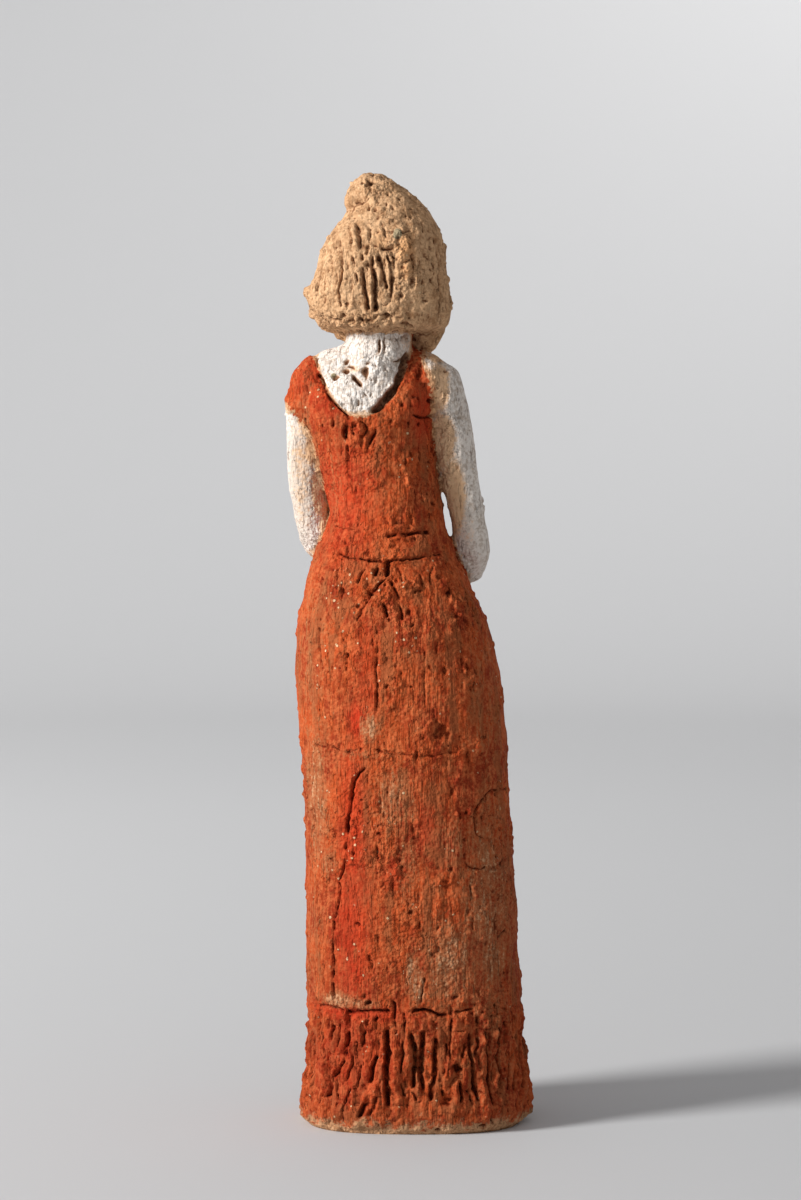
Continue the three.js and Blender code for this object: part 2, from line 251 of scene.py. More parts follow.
def drawTo(points, rows, amount):
    # Draws points sideways onto a lofted body.
    reach, middle, _ = sectionReach(points, rows)
    scale = 1 + amount * (1 / np.maximum(reach, 0.2) - 1)
    points[:, 0] = middle + (points[:, 0] - middle) * scale
    points[:, 1] *= scale


def alongRoute(points, route):
    # Distance from a jointed line, and how far along it each point is.
    away = np.full(len(points), 1e9)
    along = np.zeros(len(points))
    done = 0
    for a, b in zip(route[:-1], route[1:]):
        leg = b - a
        length = np.linalg.norm(leg)
        t = np.clip((points - a) @ leg / length**2, 0, 1)
        d = np.linalg.norm(points - a - t[:, None] * leg, axis=1)
        closer = d < away
        away[closer] = d[closer]
        along[closer] = done + t[closer] * length
        done += length
    return away, along, done


def rounded(route, rounds=2):
    # Cuts the corners of a jointed line.
    for _ in range(rounds):
        cut = [route[0]]
        for a, b in zip(route[:-1], route[1:]):
            cut += [a * 0.75 + b * 0.25, a * 0.25 + b * 0.75]
        route = np.array(cut + [route[-1]])
    return route


def limbGap(points, limb):
    route = np.array(limb["route"], float)
    legs = np.linalg.norm(np.diff(route, axis=0), axis=1)
    places = np.concatenate([[0], np.cumsum(legs)])
    away, along, _ = alongRoute(points, route)
    return away - np.interp(along, places, limb["radii"])


def readPoints(obj):
    co = np.empty(len(obj.data.vertices) * 3)
    obj.data.vertices.foreach_get("co", co)
    return co.reshape(-1, 3) * 1000


def writePoints(obj, points):
    obj.data.vertices.foreach_set("co", (points / 1000).ravel())
    obj.data.update()


def readNormals(obj):
    normals = np.empty(len(obj.data.vertices) * 3)
    obj.data.vertex_normals.foreach_get("vector", normals)
    return normals.reshape(-1, 3)


def readEdges(obj):
    edges = np.empty(len(obj.data.edges) * 2, dtype=np.int32)
    obj.data.edges.foreach_get("vertices", edges)
    return edges.reshape(-1, 2)


def keepValues(name, values):
    attribute = figure.data.attributes.new(name, "FLOAT", "POINT")
    attribute.data.foreach_set("value", values.astype(np.float32))


def spreadOut(values, edges, rounds):
    # Each value becomes the mean of its neighbours' and its own, several times over.
    count = len(values)
    joined = np.bincount(edges.ravel(), minlength=count) + 1
    for _ in range(rounds):
        total = values.copy()
        for i in range(values.shape[1]):
            total[:, i] += np.bincount(edges[:, 0], values[edges[:, 1], i], count)
            total[:, i] += np.bincount(edges[:, 1], values[edges[:, 0], i], count)
        values = total / joined[:, None]
    return values


def applyModifier(obj, kind, **settings):
    choose(obj)
    bpy.ops.object.modifier_add(type=kind)
    modifier = obj.modifiers[-1]
    for name, value in settings.items():
        setattr(modifier, name, value)
    bpy.ops.object.modifier_apply(modifier=modifier.name)


def isFace(points):
    inEgg = np.linalg.norm((points - face["middle"]) / face["size"], axis=1) < 1
    return inEgg & (points[:, 1] < face["before"])


def isHand(points):
    level = (points[:, 2] > hands["low"]) & (points[:, 2] < hands["high"])
    return level & (points[:, 1] < hands["before"])


# The clay of the whole figure, from the solid's shape.
cad = frame["nodes"]["figure"]
figure = bpy.data.objects.new("clayFigure", cad.data.copy())
bpy.context.collection.objects.link(figure)
choose(figure)
bpy.ops.object.mode_set(mode="EDIT")
bpy.ops.mesh.select_all(action="SELECT")
bpy.ops.mesh.remove_doubles(threshold=1e-6)
bpy.ops.object.mode_set(mode="OBJECT")
figure.data.materials.clear()

# The slit of light between her right arm and her waist. It is cut before anything is joined on:
# on shells that overlap, the cut comes out a little differently each time.
deselect()
bpy.ops.mesh.primitive_uv_sphere_add(segments=24, ring_count=16, radius=1)
gap = bpy.context.object
gap.name = "armGap"
gap.scale = (0.0015, 0.016, 0.0105)
gap.rotation_euler = (0, math.radians(11), 0)
gap.location = (-0.0133, -0.002, 0.2565)
bpy.ops.object.transform_apply(location=True, rotation=True, scale=True)
applyModifier(figure, "BOOLEAN", operation="DIFFERENCE", object=gap, solver="EXACT")
bpy.data.objects.remove(gap)

# Pellets of clay and stones pressed on: middle and half sizes.
pellets = [
    ((7.6, 23.2, 372.3), (2.3, 1.6, 2.6)),  # the grey stone in her hair
    ((43.0, 3.0, 349.4), (3.4, 5.0, 2.6)),  # lumps at the edges of her hair
    ((41.8, 4.0, 340.6), (2.4, 5.0, 2.4)),
    ((26.0, 3.5, 387.5), (3.4, 6.0, 5.2)),
    ((-40.0, 3.0, 120.5), (2.8, 7.0, 6.0)),  # the chip of clay on the skirt's right edge
    ((7.6, 19.6, 248.0), (2.6, 1.6, 1.6)),  # on the waistband
    ((-43.6, 3.0, 38.5), (2.6, 6.0, 4.0)),  # round the hem
    ((-45.4, 2.0, 17.5), (3.0, 7.0, 5.0)),
    ((-44.6, 6.0, 9.0), (3.2, 6.0, 3.0)),
    ((45.6, 3.0, 20.0), (2.6, 6.0, 4.0)),
]
parts = [figure]
for middle, size in pellets:
    deselect()
    bpy.ops.mesh.primitive_uv_sphere_add(
        segments=20, ring_count=12, radius=1, location=[c / 1000 for c in middle]
    )
    pellet = bpy.context.object
    pellet.scale = [s / 1000 for s in size]
    bpy.ops.object.transform_apply(location=True, rotation=True, scale=True)
    parts.append(pellet)
deselect()
for obj in parts:
    obj.select_set(True)
bpy.context.view_layer.objects.active = figure
bpy.ops.object.join()
applyModifier(figure, "REMESH", mode="VOXEL", voxel_size=clay["voxel"] / 1000, adaptivity=0)
print("clay worked to", len(figure.data.vertices), "points")

points = readPoints(figure)
keep = figure.vertex_groups.new(name="soft")
crisp = isFace(points) | isHand(points)
keep.add(np.flatnonzero(~crisp).tolist(), 1, "REPLACE")
rim = (points[:, 2] > 331) & (points[:, 2] < 386) & (sectionReach(points, hairRows)[0] > 0.85)
keep.add(np.flatnonzero(rim & ~crisp).tolist(), 0.3, "REPLACE")
keep.add(np.flatnonzero(crisp).tolist(), clay["crisp"], "REPLACE")
applyModifier(
    figure, "SMOOTH", factor=0.5, iterations=clay["smoothing"], vertex_group="soft"
)
points = readPoints(figure)
skirtPart = 1 - smoothStep(points[:, 2], 214, 224)
drawTo(points, skirtRows, skirtPart)
headBack = (points[:, 2] > 333) & (points[:, 2] < 386) & (points[:, 1] > 0)
reach = sectionReach(points, hairRows)[0]
hairPart = smoothStep(points[:, 1], 0, 5) * smoothStep(points[:, 2], 334, 337)
hairPart *= 1 - smoothStep(points[:, 2], 378, 386)
drawTo(points, hairRows, np.where(headBack & (reach > 0.8), hairPart, 0))
writePoints(figure, points)
print("facets smoothed")


# Strokes of the modelling tool: width, depth and the line across the back, as x and z.
hairGrooves = [
    (1.3, 1.2, [(27.3, 377.8), (26.6, 370.8), (26.4, 366.2)]),
    (1.9, 2.2, [(23.9, 376.7), (22.9, 370.7), (22.4, 365.7)]),
    (1.6, 1.4, [(19.1, 375.7), (18.5, 371.4), (18.7, 368.9)]),
    (3.6, 2.2, [(23.2, 365.5), (21.6, 366.9), (19.1, 369.1)]),
    (1.6, 1.6, [(18.3, 366.8), (16.6, 367.1), (15.2, 366.2)]),
    (1.7, 2.4, [(14.6, 366.0), (12.1, 366.2), (8.8, 366.0)]),
    (2.2, 3.2, [(17.7, 363.5), (17.5, 358.2), (16.6, 353.3), (17.1, 348.4), (16.9, 343.1),
        (16.0, 339.4)]),
    (2.0, 2.8, [(21.6, 358.6), (21.2, 353.2), (20.3, 348.3), (19.9, 343.9), (18.9, 340.2)]),
    (3.8, 2.0, [(19.1, 361.9), (18.9, 359.0), (18.9, 356.5)]),
    (1.8, 2.3, [(15.4, 364.0), (14.2, 359.1), (12.5, 353.2), (11.1, 348.8)]),
    (1.6, 1.7, [(12.1, 364.4), (10.1, 357.4), (9.3, 351.7), (9.7, 345.9), (10.5, 343.4)]),
    (1.5, 1.7, [(26.1, 364.1), (25.3, 358.3), (24.1, 353.3), (24.5, 351.3)]),
    (1.6, 1.8, [(22.4, 364.9), (21.6, 360.7)]),
    (1.5, 1.9, [(32.0, 370.3), (30.9, 365.9), (29.9, 360.9), (30.3, 355.5), (31.2, 349.3),
        (31.4, 344.0), (30.7, 342.0)]),
    (1.2, 1.2, [(37.0, 360.1), (36.5, 354.6), (37.8, 349.2)]),
    (1.1, 0.8, [(35.1, 366.3), (34.4, 362.0), (34.5, 357.8)]),
    (1.2, 0.8, [(28.2, 363.3), (27.8, 358.4), (28.2, 352.6)]),
    (1.1, 0.8, [(40.2, 361.8), (39.7, 354.7), (40.1, 349.7)]),
    (1.1, 0.7, [(38.2, 347.2), (37.4, 343.1), (37.9, 339.8)]),
    (2.2, 2.0, [(29.7, 343.2), (28.2, 344.0), (26.6, 343.6)]),
    (1.3, 1.3, [(19.2, 385.7), (18.9, 381.9)]),
    (1.3, 0.9, [(27.0, 387.6), (24.7, 385.5), (21.7, 385.9), (18.0, 387.5)]),
    (1.2, 1.0, [(13.8, 377.3), (12.8, 373.9), (12.1, 370.6)]),
    (1.3, 1.1, [(6.2, 372.7), (3.9, 373.4), (1.0, 374.3)]),
    (1.4, 1.2, [(10.5, 364.3), (8.8, 361.9), (6.4, 359.7), (3.5, 361.1), (1.0, 362.9)]),
    (1.0, 0.8, [(15.2, 349.6), (15.8, 345.9), (14.2, 342.9), (11.7, 343.0), (10.3, 346.3),
        (11.3, 349.6)]),
    (1.8, 1.3, [(36.4, 339.0), (33.6, 337.2), (30.8, 337.9)]),
    (1.4, 1.0, [(28.2, 336.1), (25.4, 337.3)]),
    (2.1, 1.7, [(23.4, 338.2), (20.6, 336.3), (18.0, 337.0)]),
    (1.3, 1.1, [(15.4, 338.4), (10.5, 339.0), (5.6, 337.8), (-0.2, 336.8)]),
    (3.2, 3.0, [(7.2, 335.5), (3.9, 335.0), (0.2, 334.1)]),
    (1.3, 1.1, [(1.4, 391.7), (-1.2, 388.4), (-2.8, 384.5)]),
    (1.2, 0.9, [(-2.3, 378.1), (-3.5, 375.2), (-3.1, 372.6)]),
    (1.2, 0.9, [(-6.4, 361.1), (-7.7, 357.0), (-6.8, 352.8)]),
    (3.2, -1.0, [(25.6, 378.1), (24.9, 372.5), (24.6, 366.6)]),
    (2.4, -0.7, [(21.2, 376.6), (20.6, 372.8), (20.4, 369.8)]),
    (2.2, -0.8, [(18.9, 355.3), (18.5, 349.2), (18.1, 341.8)]),
    (2.4, -0.8, [(15.6, 360.7), (14.8, 354.9), (15.0, 349.2)]),
    (2.0, -0.6, [(12.3, 362.3), (10.9, 356.5), (10.5, 350.8)]),
    (1.5, -0.7, [(22.2, 366.1), (20.4, 367.7), (18.1, 368.0)]),
    (2.6, -0.5, [(29.0, 360.8), (28.4, 355.5), (29.4, 349.3)]),
]
dressCreases = [
    (3.0, 2.0, [(27.5, 295.5), (28.9, 293.0), (28.9, 290.1), (28.3, 286.4)]),
    (2.6, 1.0, [(28.3, 286.4), (28.3, 280.2), (28.0, 271.1)]),
    (1.4, 1.4, [(25.8, 295.5), (26.2, 292.2), (25.0, 288.9)]),
    (1.5, 1.2, [(23.7, 296.3), (20.4, 294.3), (20.0, 291.0), (22.5, 287.6)]),
    (2.0, 1.8, [(16.3, 292.6), (18.0, 288.5), (19.2, 284.8)]),
    (1.6, 0.9, [(17.5, 291.0), (19.6, 287.2), (19.6, 282.7)]),
    (1.8, 1.6, [(33.7, 297.6), (33.9, 292.2)]),
    (1.3, 1.2, [(38.7, 294.7), (38.8, 290.6)]),
    (1.5, 1.0, [(46.1, 297.3), (44.8, 292.7), (43.4, 287.2)]),
    (2.4, 1.4, [(-2.0, 321.0), (-2.2, 316.3), (-0.7, 312.1)]),
    (2.0, 2.2, [(1.8, 298.4), (-1.5, 297.2), (-4.9, 297.2), (-7.8, 297.3)]),
    (1.8, 1.5, [(-3.2, 296.4), (-4.9, 292.2), (-6.1, 286.8)]),
    (1.9, 0.7, [(34.4, 251.8), (29.3, 251.1), (24.2, 250.8)]),
    (2.2, 2.0, [(12.6, 247.5), (7.6, 248.3), (1.4, 249.1), (-6.9, 249.4)]),
    (1.8, 1.6, [(32.5, 240.8), (27.1, 239.2), (20.5, 238.0), (12.6, 237.7)]),
    (1.8, 2.0, [(12.6, 237.7), (4.7, 238.0), (-2.7, 239.2), (-11.5, 240.2)]),
    (2.4, 2.4, [(10.9, 238.9), (11.3, 235.2), (11.3, 230.8)]),
    (1.9, 1.6, [(11.3, 230.8), (14.2, 229.1), (16.7, 225.9), (17.9, 224.2)]),
    (2.0, 2.2, [(14.6, 235.6), (15.5, 233.6), (17.1, 231.2)]),
    (1.6, 1.3, [(17.9, 224.2), (19.6, 221.0), (22.4, 216.9), (24.1, 212.8)]),
    (1.4, 1.2, [(20.4, 235.6), (22.9, 231.5), (23.7, 227.5)]),
    (1.8, 2.0, [(10.5, 229.9), (8.9, 226.7), (7.2, 223.4), (6.0, 221.0)]),
    (1.8, 2.0, [(13.4, 220.6), (12.5, 216.9), (11.7, 213.7)]),
    (1.8, 1.8, [(6.8, 220.2), (5.6, 216.9), (4.7, 212.9)]),
    (1.3, 1.0, [(8.0, 235.6), (5.6, 232.4), (4.7, 227.5)]),
    (1.5, 1.1, [(-13.5, 226.8), (-15.2, 224.7), (-16.0, 222.2)]),
    (1.5, 1.2, [(-1.5, 233.1), (-2.3, 228.6), (-3.1, 225.0)]),
    (1.3, 1.0, [(-7.3, 235.5), (-6.0, 231.4), (-6.4, 227.4)]),
    (2.0, 0.8, [(15.4, 210.8), (15.8, 199.4)]),
    (1.6, 1.0, [(15.8, 199.4), (16.2, 185.0), (15.8, 175.0)]),
    (1.4, 0.9, [(31.2, 235.5), (32.5, 231.0), (32.9, 225.7)]),
    (1.2, 0.8, [(39.9, 211.1), (39.9, 201.7), (39.1, 191.8)]),
    (1.2, 0.7, [(28.2, 205.3), (28.6, 197.1), (27.8, 184.7)]),
    (1.2, 0.7, [(-3.9, 201.3), (-3.5, 189.0), (-4.3, 178.7)]),
    (1.2, 0.7, [(-18.4, 205.1), (-19.6, 194.9), (-19.2, 184.6)]),
    (1.7, 1.0, [(16.7, 160.0), (12.1, 158.9), (7.6, 158.5)]),
    (2.0, 0.4, [(7.6, 158.5), (1.4, 158.1), (-3.9, 157.2), (-10.1, 158.3), (-18.4, 158.9)]),
    (1.7, 0.9, [(42.4, 161.6), (38.8, 160.2), (34.6, 160.9), (30.4, 159.8)]),
    (2.0, 1.6, [(20.0, 152.5), (24.1, 150.3), (26.4, 143.1), (27.3, 135.2), (28.4, 123.9)]),
    (1.7, 1.4, [(28.4, 123.9), (29.2, 115.1), (30.5, 108.6), (32.0, 104.9)]),
    (1.6, 1.3, [(32.0, 104.9), (31.3, 100.7), (32.4, 93.3), (33.3, 88.9)]),
    (1.6, 1.8, [(33.4, 88.9), (33.9, 77.2), (34.3, 69.9), (34.1, 62.6), (33.7, 55.1)]),
    (1.3, 1.2, [(37.9, 70.0), (38.3, 63.3), (37.6, 56.9)]),
    (1.2, 0.8, [(41.6, 104.8), (40.5, 101.5), (40.9, 93.4)]),
    (1.5, 1.4, [(-38.4, 141.8), (-34.6, 142.1), (-30.9, 141.7), (-27.3, 138.4), (-25.8, 134.9),
        (-24.4, 132.1)]),
    (1.4, 1.1, [(-24.4, 132.1), (-25.1, 127.7), (-25.9, 123.4), (-30.2, 122.1)]),
    (1.4, 1.3, [(-20.1, 117.3), (-20.8, 112.3), (-23.7, 110.3), (-27.0, 109.4), (-29.5, 111.0)]),
    (1.3, 0.9, [(-37.6, 84.1), (-34.3, 80.4)]),
    (1.5, 1.2, [(-4.0, 65.7), (-2.9, 60.3), (-2.1, 54.5)]),
]
neckGaps = [
    (1.5, 1.4, [(40.7, 322.8), (41.7, 320.2), (41.4, 317.7)]),
    (1.7, 2.0, [(41.0, 316.4), (38.9, 312.6), (36.7, 308.0), (34.2, 303.8), (31.2, 300.9),
        (28.7, 298.4), (27.1, 295.5)]),
    (3.6, 3.8, [(3.0, 324.7), (4.7, 320.5), (5.8, 315.9), (7.6, 310.9), (10.1, 306.7),
        (13.4, 303.2), (16.3, 300.7), (19.2, 298.8)]),
    (1.6, 1.5, [(14.7, 329.9), (14.7, 325.3), (15.9, 322.0)]),
    (1.5, 1.4, [(3.9, 324.3), (6.8, 320.4), (9.3, 320.0)]),
    (1.4, 0.9, [(13.4, 332.0), (12.6, 327.0), (13.4, 322.4)]),
    (1.4, 0.9, [(9.7, 332.0), (7.6, 328.8), (6.0, 325.9)]),
    (2.0, 2.4, [(26.7, 315.0), (24.2, 312.5), (22.1, 309.6)]),
    (1.5, 1.9, [(30.5, 317.2), (27.6, 318.6), (24.8, 316.8)]),
    (1.3, 1.0, [(17.6, 307.9), (18.8, 305.0)]),
    (1.3, 1.3, [(23.8, 304.6), (23.6, 301.3)]),
    (1.1, 0.8, [(22.1, 307.5), (19.6, 304.6)]),
]
hemCut = [
    (1.5, 1.3, [(43.1, 50.3), (37.7, 52.2), (32.6, 51.8), (29.2, 50.9)]),
    (1.7, 2.2, [(29.2, 50.9), (26.3, 50.8), (23.0, 51.4), (16.7, 51.3), (10.1, 51.9)]),
    (1.8, 2.6, [(1.8, 52.0), (-0.2, 52.0), (-3.6, 52.4), (-6.5, 51.5), (-8.5, 50.2),
        (-10.6, 49.8), (-13.5, 50.1)]),
    (1.6, 1.9, [(-16.4, 50.9), (-19.8, 51.2), (-24.3, 52.1)]),
]
fringe = [
    (1.8, 1.6, [(38.1, 40.8), (38.5, 35.3), (39.4, 31.0), (39.8, 28.0)]),
    (2.6, 2.2, [(34.3, 45.1), (34.7, 42.0), (33.9, 37.2)]),
    (1.6, 1.6, [(36.8, 19.1), (38.1, 15.7), (39.8, 13.4), (41.5, 10.2)]),
    (2.2, 2.0, [(27.6, 43.0), (28.0, 38.1), (28.4, 34.7), (29.2, 31.3)]),
    (1.8, 1.8, [(29.2, 30.5), (30.9, 27.8), (33.4, 23.9), (34.7, 20.0), (35.9, 15.8), (38.9, 13.2)]),
    (1.6, 1.8, [(26.3, 32.7), (25.9, 29.1), (28.0, 25.5), (28.4, 21.4)]),
    (2.0, 2.0, [(20.9, 44.0), (21.3, 40.0), (22.6, 35.8)]),
    (2.2, 2.2, [(15.5, 33.2), (17.1, 29.5), (18.4, 24.9), (19.2, 21.6)]),
    (1.8, 1.6, [(27.1, 19.1), (28.4, 16.2), (29.2, 11.8), (30.0, 8.5)]),
    (2.4, 2.2, [(19.6, 14.7), (21.3, 11.5), (22.5, 8.6), (23.8, 6.5)]),
    (2.4, 2.2, [(15.9, 17.3), (16.7, 14.1), (18.4, 10.0), (19.2, 8.0)]),
    (2.8, 2.8, [(11.4, 44.3), (11.8, 38.6), (11.3, 33.7), (12.2, 27.2), (12.2, 21.0),
        (11.3, 15.0), (12.2, 11.8)]),
    (1.8, 1.8, [(9.3, 56.1), (8.4, 52.7), (8.9, 47.7), (7.6, 43.7), (8.4, 40.6)]),
    (1.6, 2.0, [(4.3, 51.1), (4.7, 43.6), (5.1, 35.4), (5.5, 29.8), (6.4, 25.2)]),
    (2.4, 2.8, [(2.7, 42.9), (1.4, 39.6), (-0.2, 34.7), (0.2, 27.3), (1.0, 19.1)]),
    (2.8, 2.8, [(-3.6, 44.4), (-3.1, 38.6), (-2.3, 34.5), (-1.9, 28.0), (-2.7, 22.2), (-3.6, 17.8)]),
    (1.6, 2.0, [(1.8, 18.2), (0.6, 16.3), (-0.7, 14.2)]),
    (1.5, 1.6, [(6.4, 22.4), (5.1, 18.3), (5.5, 15.9)]),
    (2.4, 2.8, [(-8.9, 41.1), (-8.5, 36.2), (-8.1, 31.3), (-7.7, 24.8), (-6.5, 19.0), (-6.4, 13.8)]),
    (1.8, 1.7, [(-13.1, 38.8), (-12.7, 31.3), (-11.8, 23.7)]),
    (1.3, 1.2, [(-15.2, 48.4), (-14.7, 41.6), (-14.3, 35.5), (-13.9, 28.9), (-13.1, 23.0)]),
    (2.0, 2.0, [(-21.0, 40.1), (-20.6, 35.1), (-19.3, 31.0)]),
    (1.8, 2.4, [(-18.5, 22.8), (-18.9, 16.8), (-18.9, 13.6)]),
    (2.2, 2.6, [(-22.6, 42.1), (-22.6, 35.1), (-23.5, 30.1), (-23.9, 23.5), (-25.1, 17.8),
        (-25.9, 13.3)]),
    (2.0, 2.2, [(-26.0, 49.1), (-25.6, 43.0), (-25.6, 35.7), (-25.1, 30.9)]),
    (1.4, 1.6, [(-21.4, 19.5), (-22.6, 15.8), (-23.4, 13.0)]),
    (1.8, 2.2, [(-29.0, 42.7), (-29.4, 36.5), (-30.2, 30.2), (-31.0, 24.0), (-30.6, 18.8),
        (-31.8, 14.6), (-32.7, 11.0)]),
    (2.0, 2.0, [(-34.5, 44.2), (-34.4, 36.1), (-35.3, 27.7), (-35.7, 20.7)]),
    (1.6, 1.8, [(-38.8, 36.9), (-37.9, 31.1), (-39.2, 22.8), (-39.6, 16.5)]),
    (1.6, 1.8, [(-41.9, 40.5), (-41.4, 34.5), (-41.8, 28.2), (-41.8, 22.0), (-41.3, 16.0)]),
    (1.4, 1.4, [(-35.2, 17.5), (-36.5, 13.3), (-38.2, 10.6)]),
    (1.2, 0.8, [(-31.5, 49.8), (-31.5, 45.4), (-30.6, 41.8)]),
    (1.2, 0.9, [(-15.2, 43.3), (-21.0, 42.9)]),
    (1.2, 1.2, [(-28.5, 43.1), (-32.3, 42.8)]),
    (1.4, 1.4, [(-37.1, 46.1), (-37.1, 41.5), (-36.6, 35.7)]),
    (1.3, 1.2, [(31.8, 45.4), (31.3, 40.4), (31.8, 35.1)]),
    (1.4, 1.3, [(24.2, 39.1), (24.6, 32.9), (23.8, 28.4)]),
    (1.3, 1.2, [(32.6, 22.7), (33.0, 17.8), (32.1, 13.9), (33.4, 10.5)]),
    (1.4, 1.3, [(22.5, 30.1), (23.8, 24.7), (24.2, 18.6)]),
    (2.6, -1.0, [(2.7, 39.6), (2.2, 33.3), (2.6, 27.1)]),
    (3.0, -0.9, [(36.4, 29.4), (37.3, 24.2), (38.5, 19.9)]),
    (3.0, -0.9, [(30.9, 38.4), (31.7, 33.5), (33.0, 29.2)]),
    (3.4, -0.8, [(19.2, 41.7), (18.4, 37.7), (19.6, 32.7)]),
    (2.6, -0.8, [(14.2, 30.5), (15.1, 23.8), (17.1, 18.0)]),
    (3.2, -0.9, [(3.5, 23.8), (3.5, 19.7), (4.7, 16.6)]),
    (2.6, -0.8, [(-28.1, 30.5), (-27.7, 23.2), (-28.5, 17.4)]),
    (2.2, -0.7, [(-33.6, 25.8), (-33.6, 19.7), (-34.4, 14.4)]),
    (2.4, -0.8, [(26.3, 18.4), (25.4, 13.7), (26.3, 9.6)]),
    (2.4, -0.8, [(8.9, 37.2), (8.9, 28.8), (9.3, 20.5)]),
]

# The front, from the middle of the face between the eyes: lines drawn alike on both sides, then
# lines across the middle.
faceMiddle = (10.9, 352.7)
pairedLines = [
    (1.5, 1.3, [(2.8, 0.3), (4.2, -0.8), (5.8, -1.2), (7.5, -0.8), (8.9, 0.3)]),  # closed eyes
    (1.2, 0.7, [(2.8, 2.2), (4.4, 3.0), (6.2, 3.1), (8.8, 2.0)]),  # the lids' upper edge
    (2.4, -0.8, [(2.4, 5.4), (5.0, 6.5), (8.0, 6.1), (10.4, 4.2)]),  # brows
    (1.8, 0.7, [(2.0, 1.4), (2.0, -2.6), (2.8, -5.6)]),  # sides of the nose
    (1.2, 0.9, [(3.0, -6.2), (3.5, -7.7), (2.5, -8.9)]),  # its wings
    (1.3, 1.2, [(0.7, -9.6), (2.2, -9.3)]),  # nostrils
    (1.4, 0.5, [(4.6, -9.6), (5.6, -12.4)]),  # from the nose to the corners of the mouth
]
middleLines = [
    (1.4, 1.4, [(-4.3, -13.1), (-2.0, -13.8), (0, -13.5), (2.0, -13.8), (4.3, -13.1)]),  # mouth
    (1.9, -0.5, [(-3.0, -12.2), (0, -11.7), (3.0, -12.2)]),
    (1.9, -0.6, [(-2.6, -15.3), (0, -15.6), (2.6, -15.3)]),
    (2.2, 0.9, [(-2.4, -17.4), (0, -17.8), (2.4, -17.4)]),
    (3.4, 0.8, [(-7.0, -20.6), (-3.5, -22.4), (0, -23.0), (3.5, -22.4), (7.0, -20.6)]),  # under the chin
]
handLines = [
    (1.2, 1.5, [(11.5, 245.7), (17.0, 245.6), (21.5, 244.6)]),  # between the fingers
    (1.2, 1.5, [(11.5, 242.6), (17.5, 242.5), (23.0, 241.4)]),
    (1.2, 1.5, [(11.5, 239.5), (17.0, 239.4), (22.0, 238.4)]),
    (1.3, 1.1, [(6.0, 248.2), (11.0, 248.8), (17.5, 248.4)]),  # under the thumb
]
frontHair = [
    (1.5, 1.2, [(13.5, 391.0), (12.6, 383.0), (12.2, 374.5)]),  # the parting
    (1.5, 1.2, [(7.0, 381.0), (0.5, 374.0), (-3.5, 364.0), (-5.5, 352.0), (-4.5, 340.0)]),
    (1.3, 1.0, [(9.0, 375.5), (3.0, 371.0), (-0.6, 363.0), (-2.2, 353.0)]),
    (1.3, 1.0, [(1.0, 383.0), (-5.0, 374.0), (-9.0, 362.0), (-11.0, 350.0)]),
    (1.5, 1.2, [(19.0, 381.0), (26.0, 373.0), (31.0, 362.0), (33.5, 351.0), (31.5, 341.0)]),
    (1.3, 1.0, [(16.5, 375.5), (23.0, 370.5), (27.5, 362.5), (29.0, 353.0)]),
    (1.3, 1.0, [(25.0, 382.0), (32.0, 373.0), (37.0, 361.0), (39.0, 350.0)]),
    (1.2, 0.8, [(-6.4, 341.0), (-4.4, 333.0), (-1.0, 326.0)]),
]

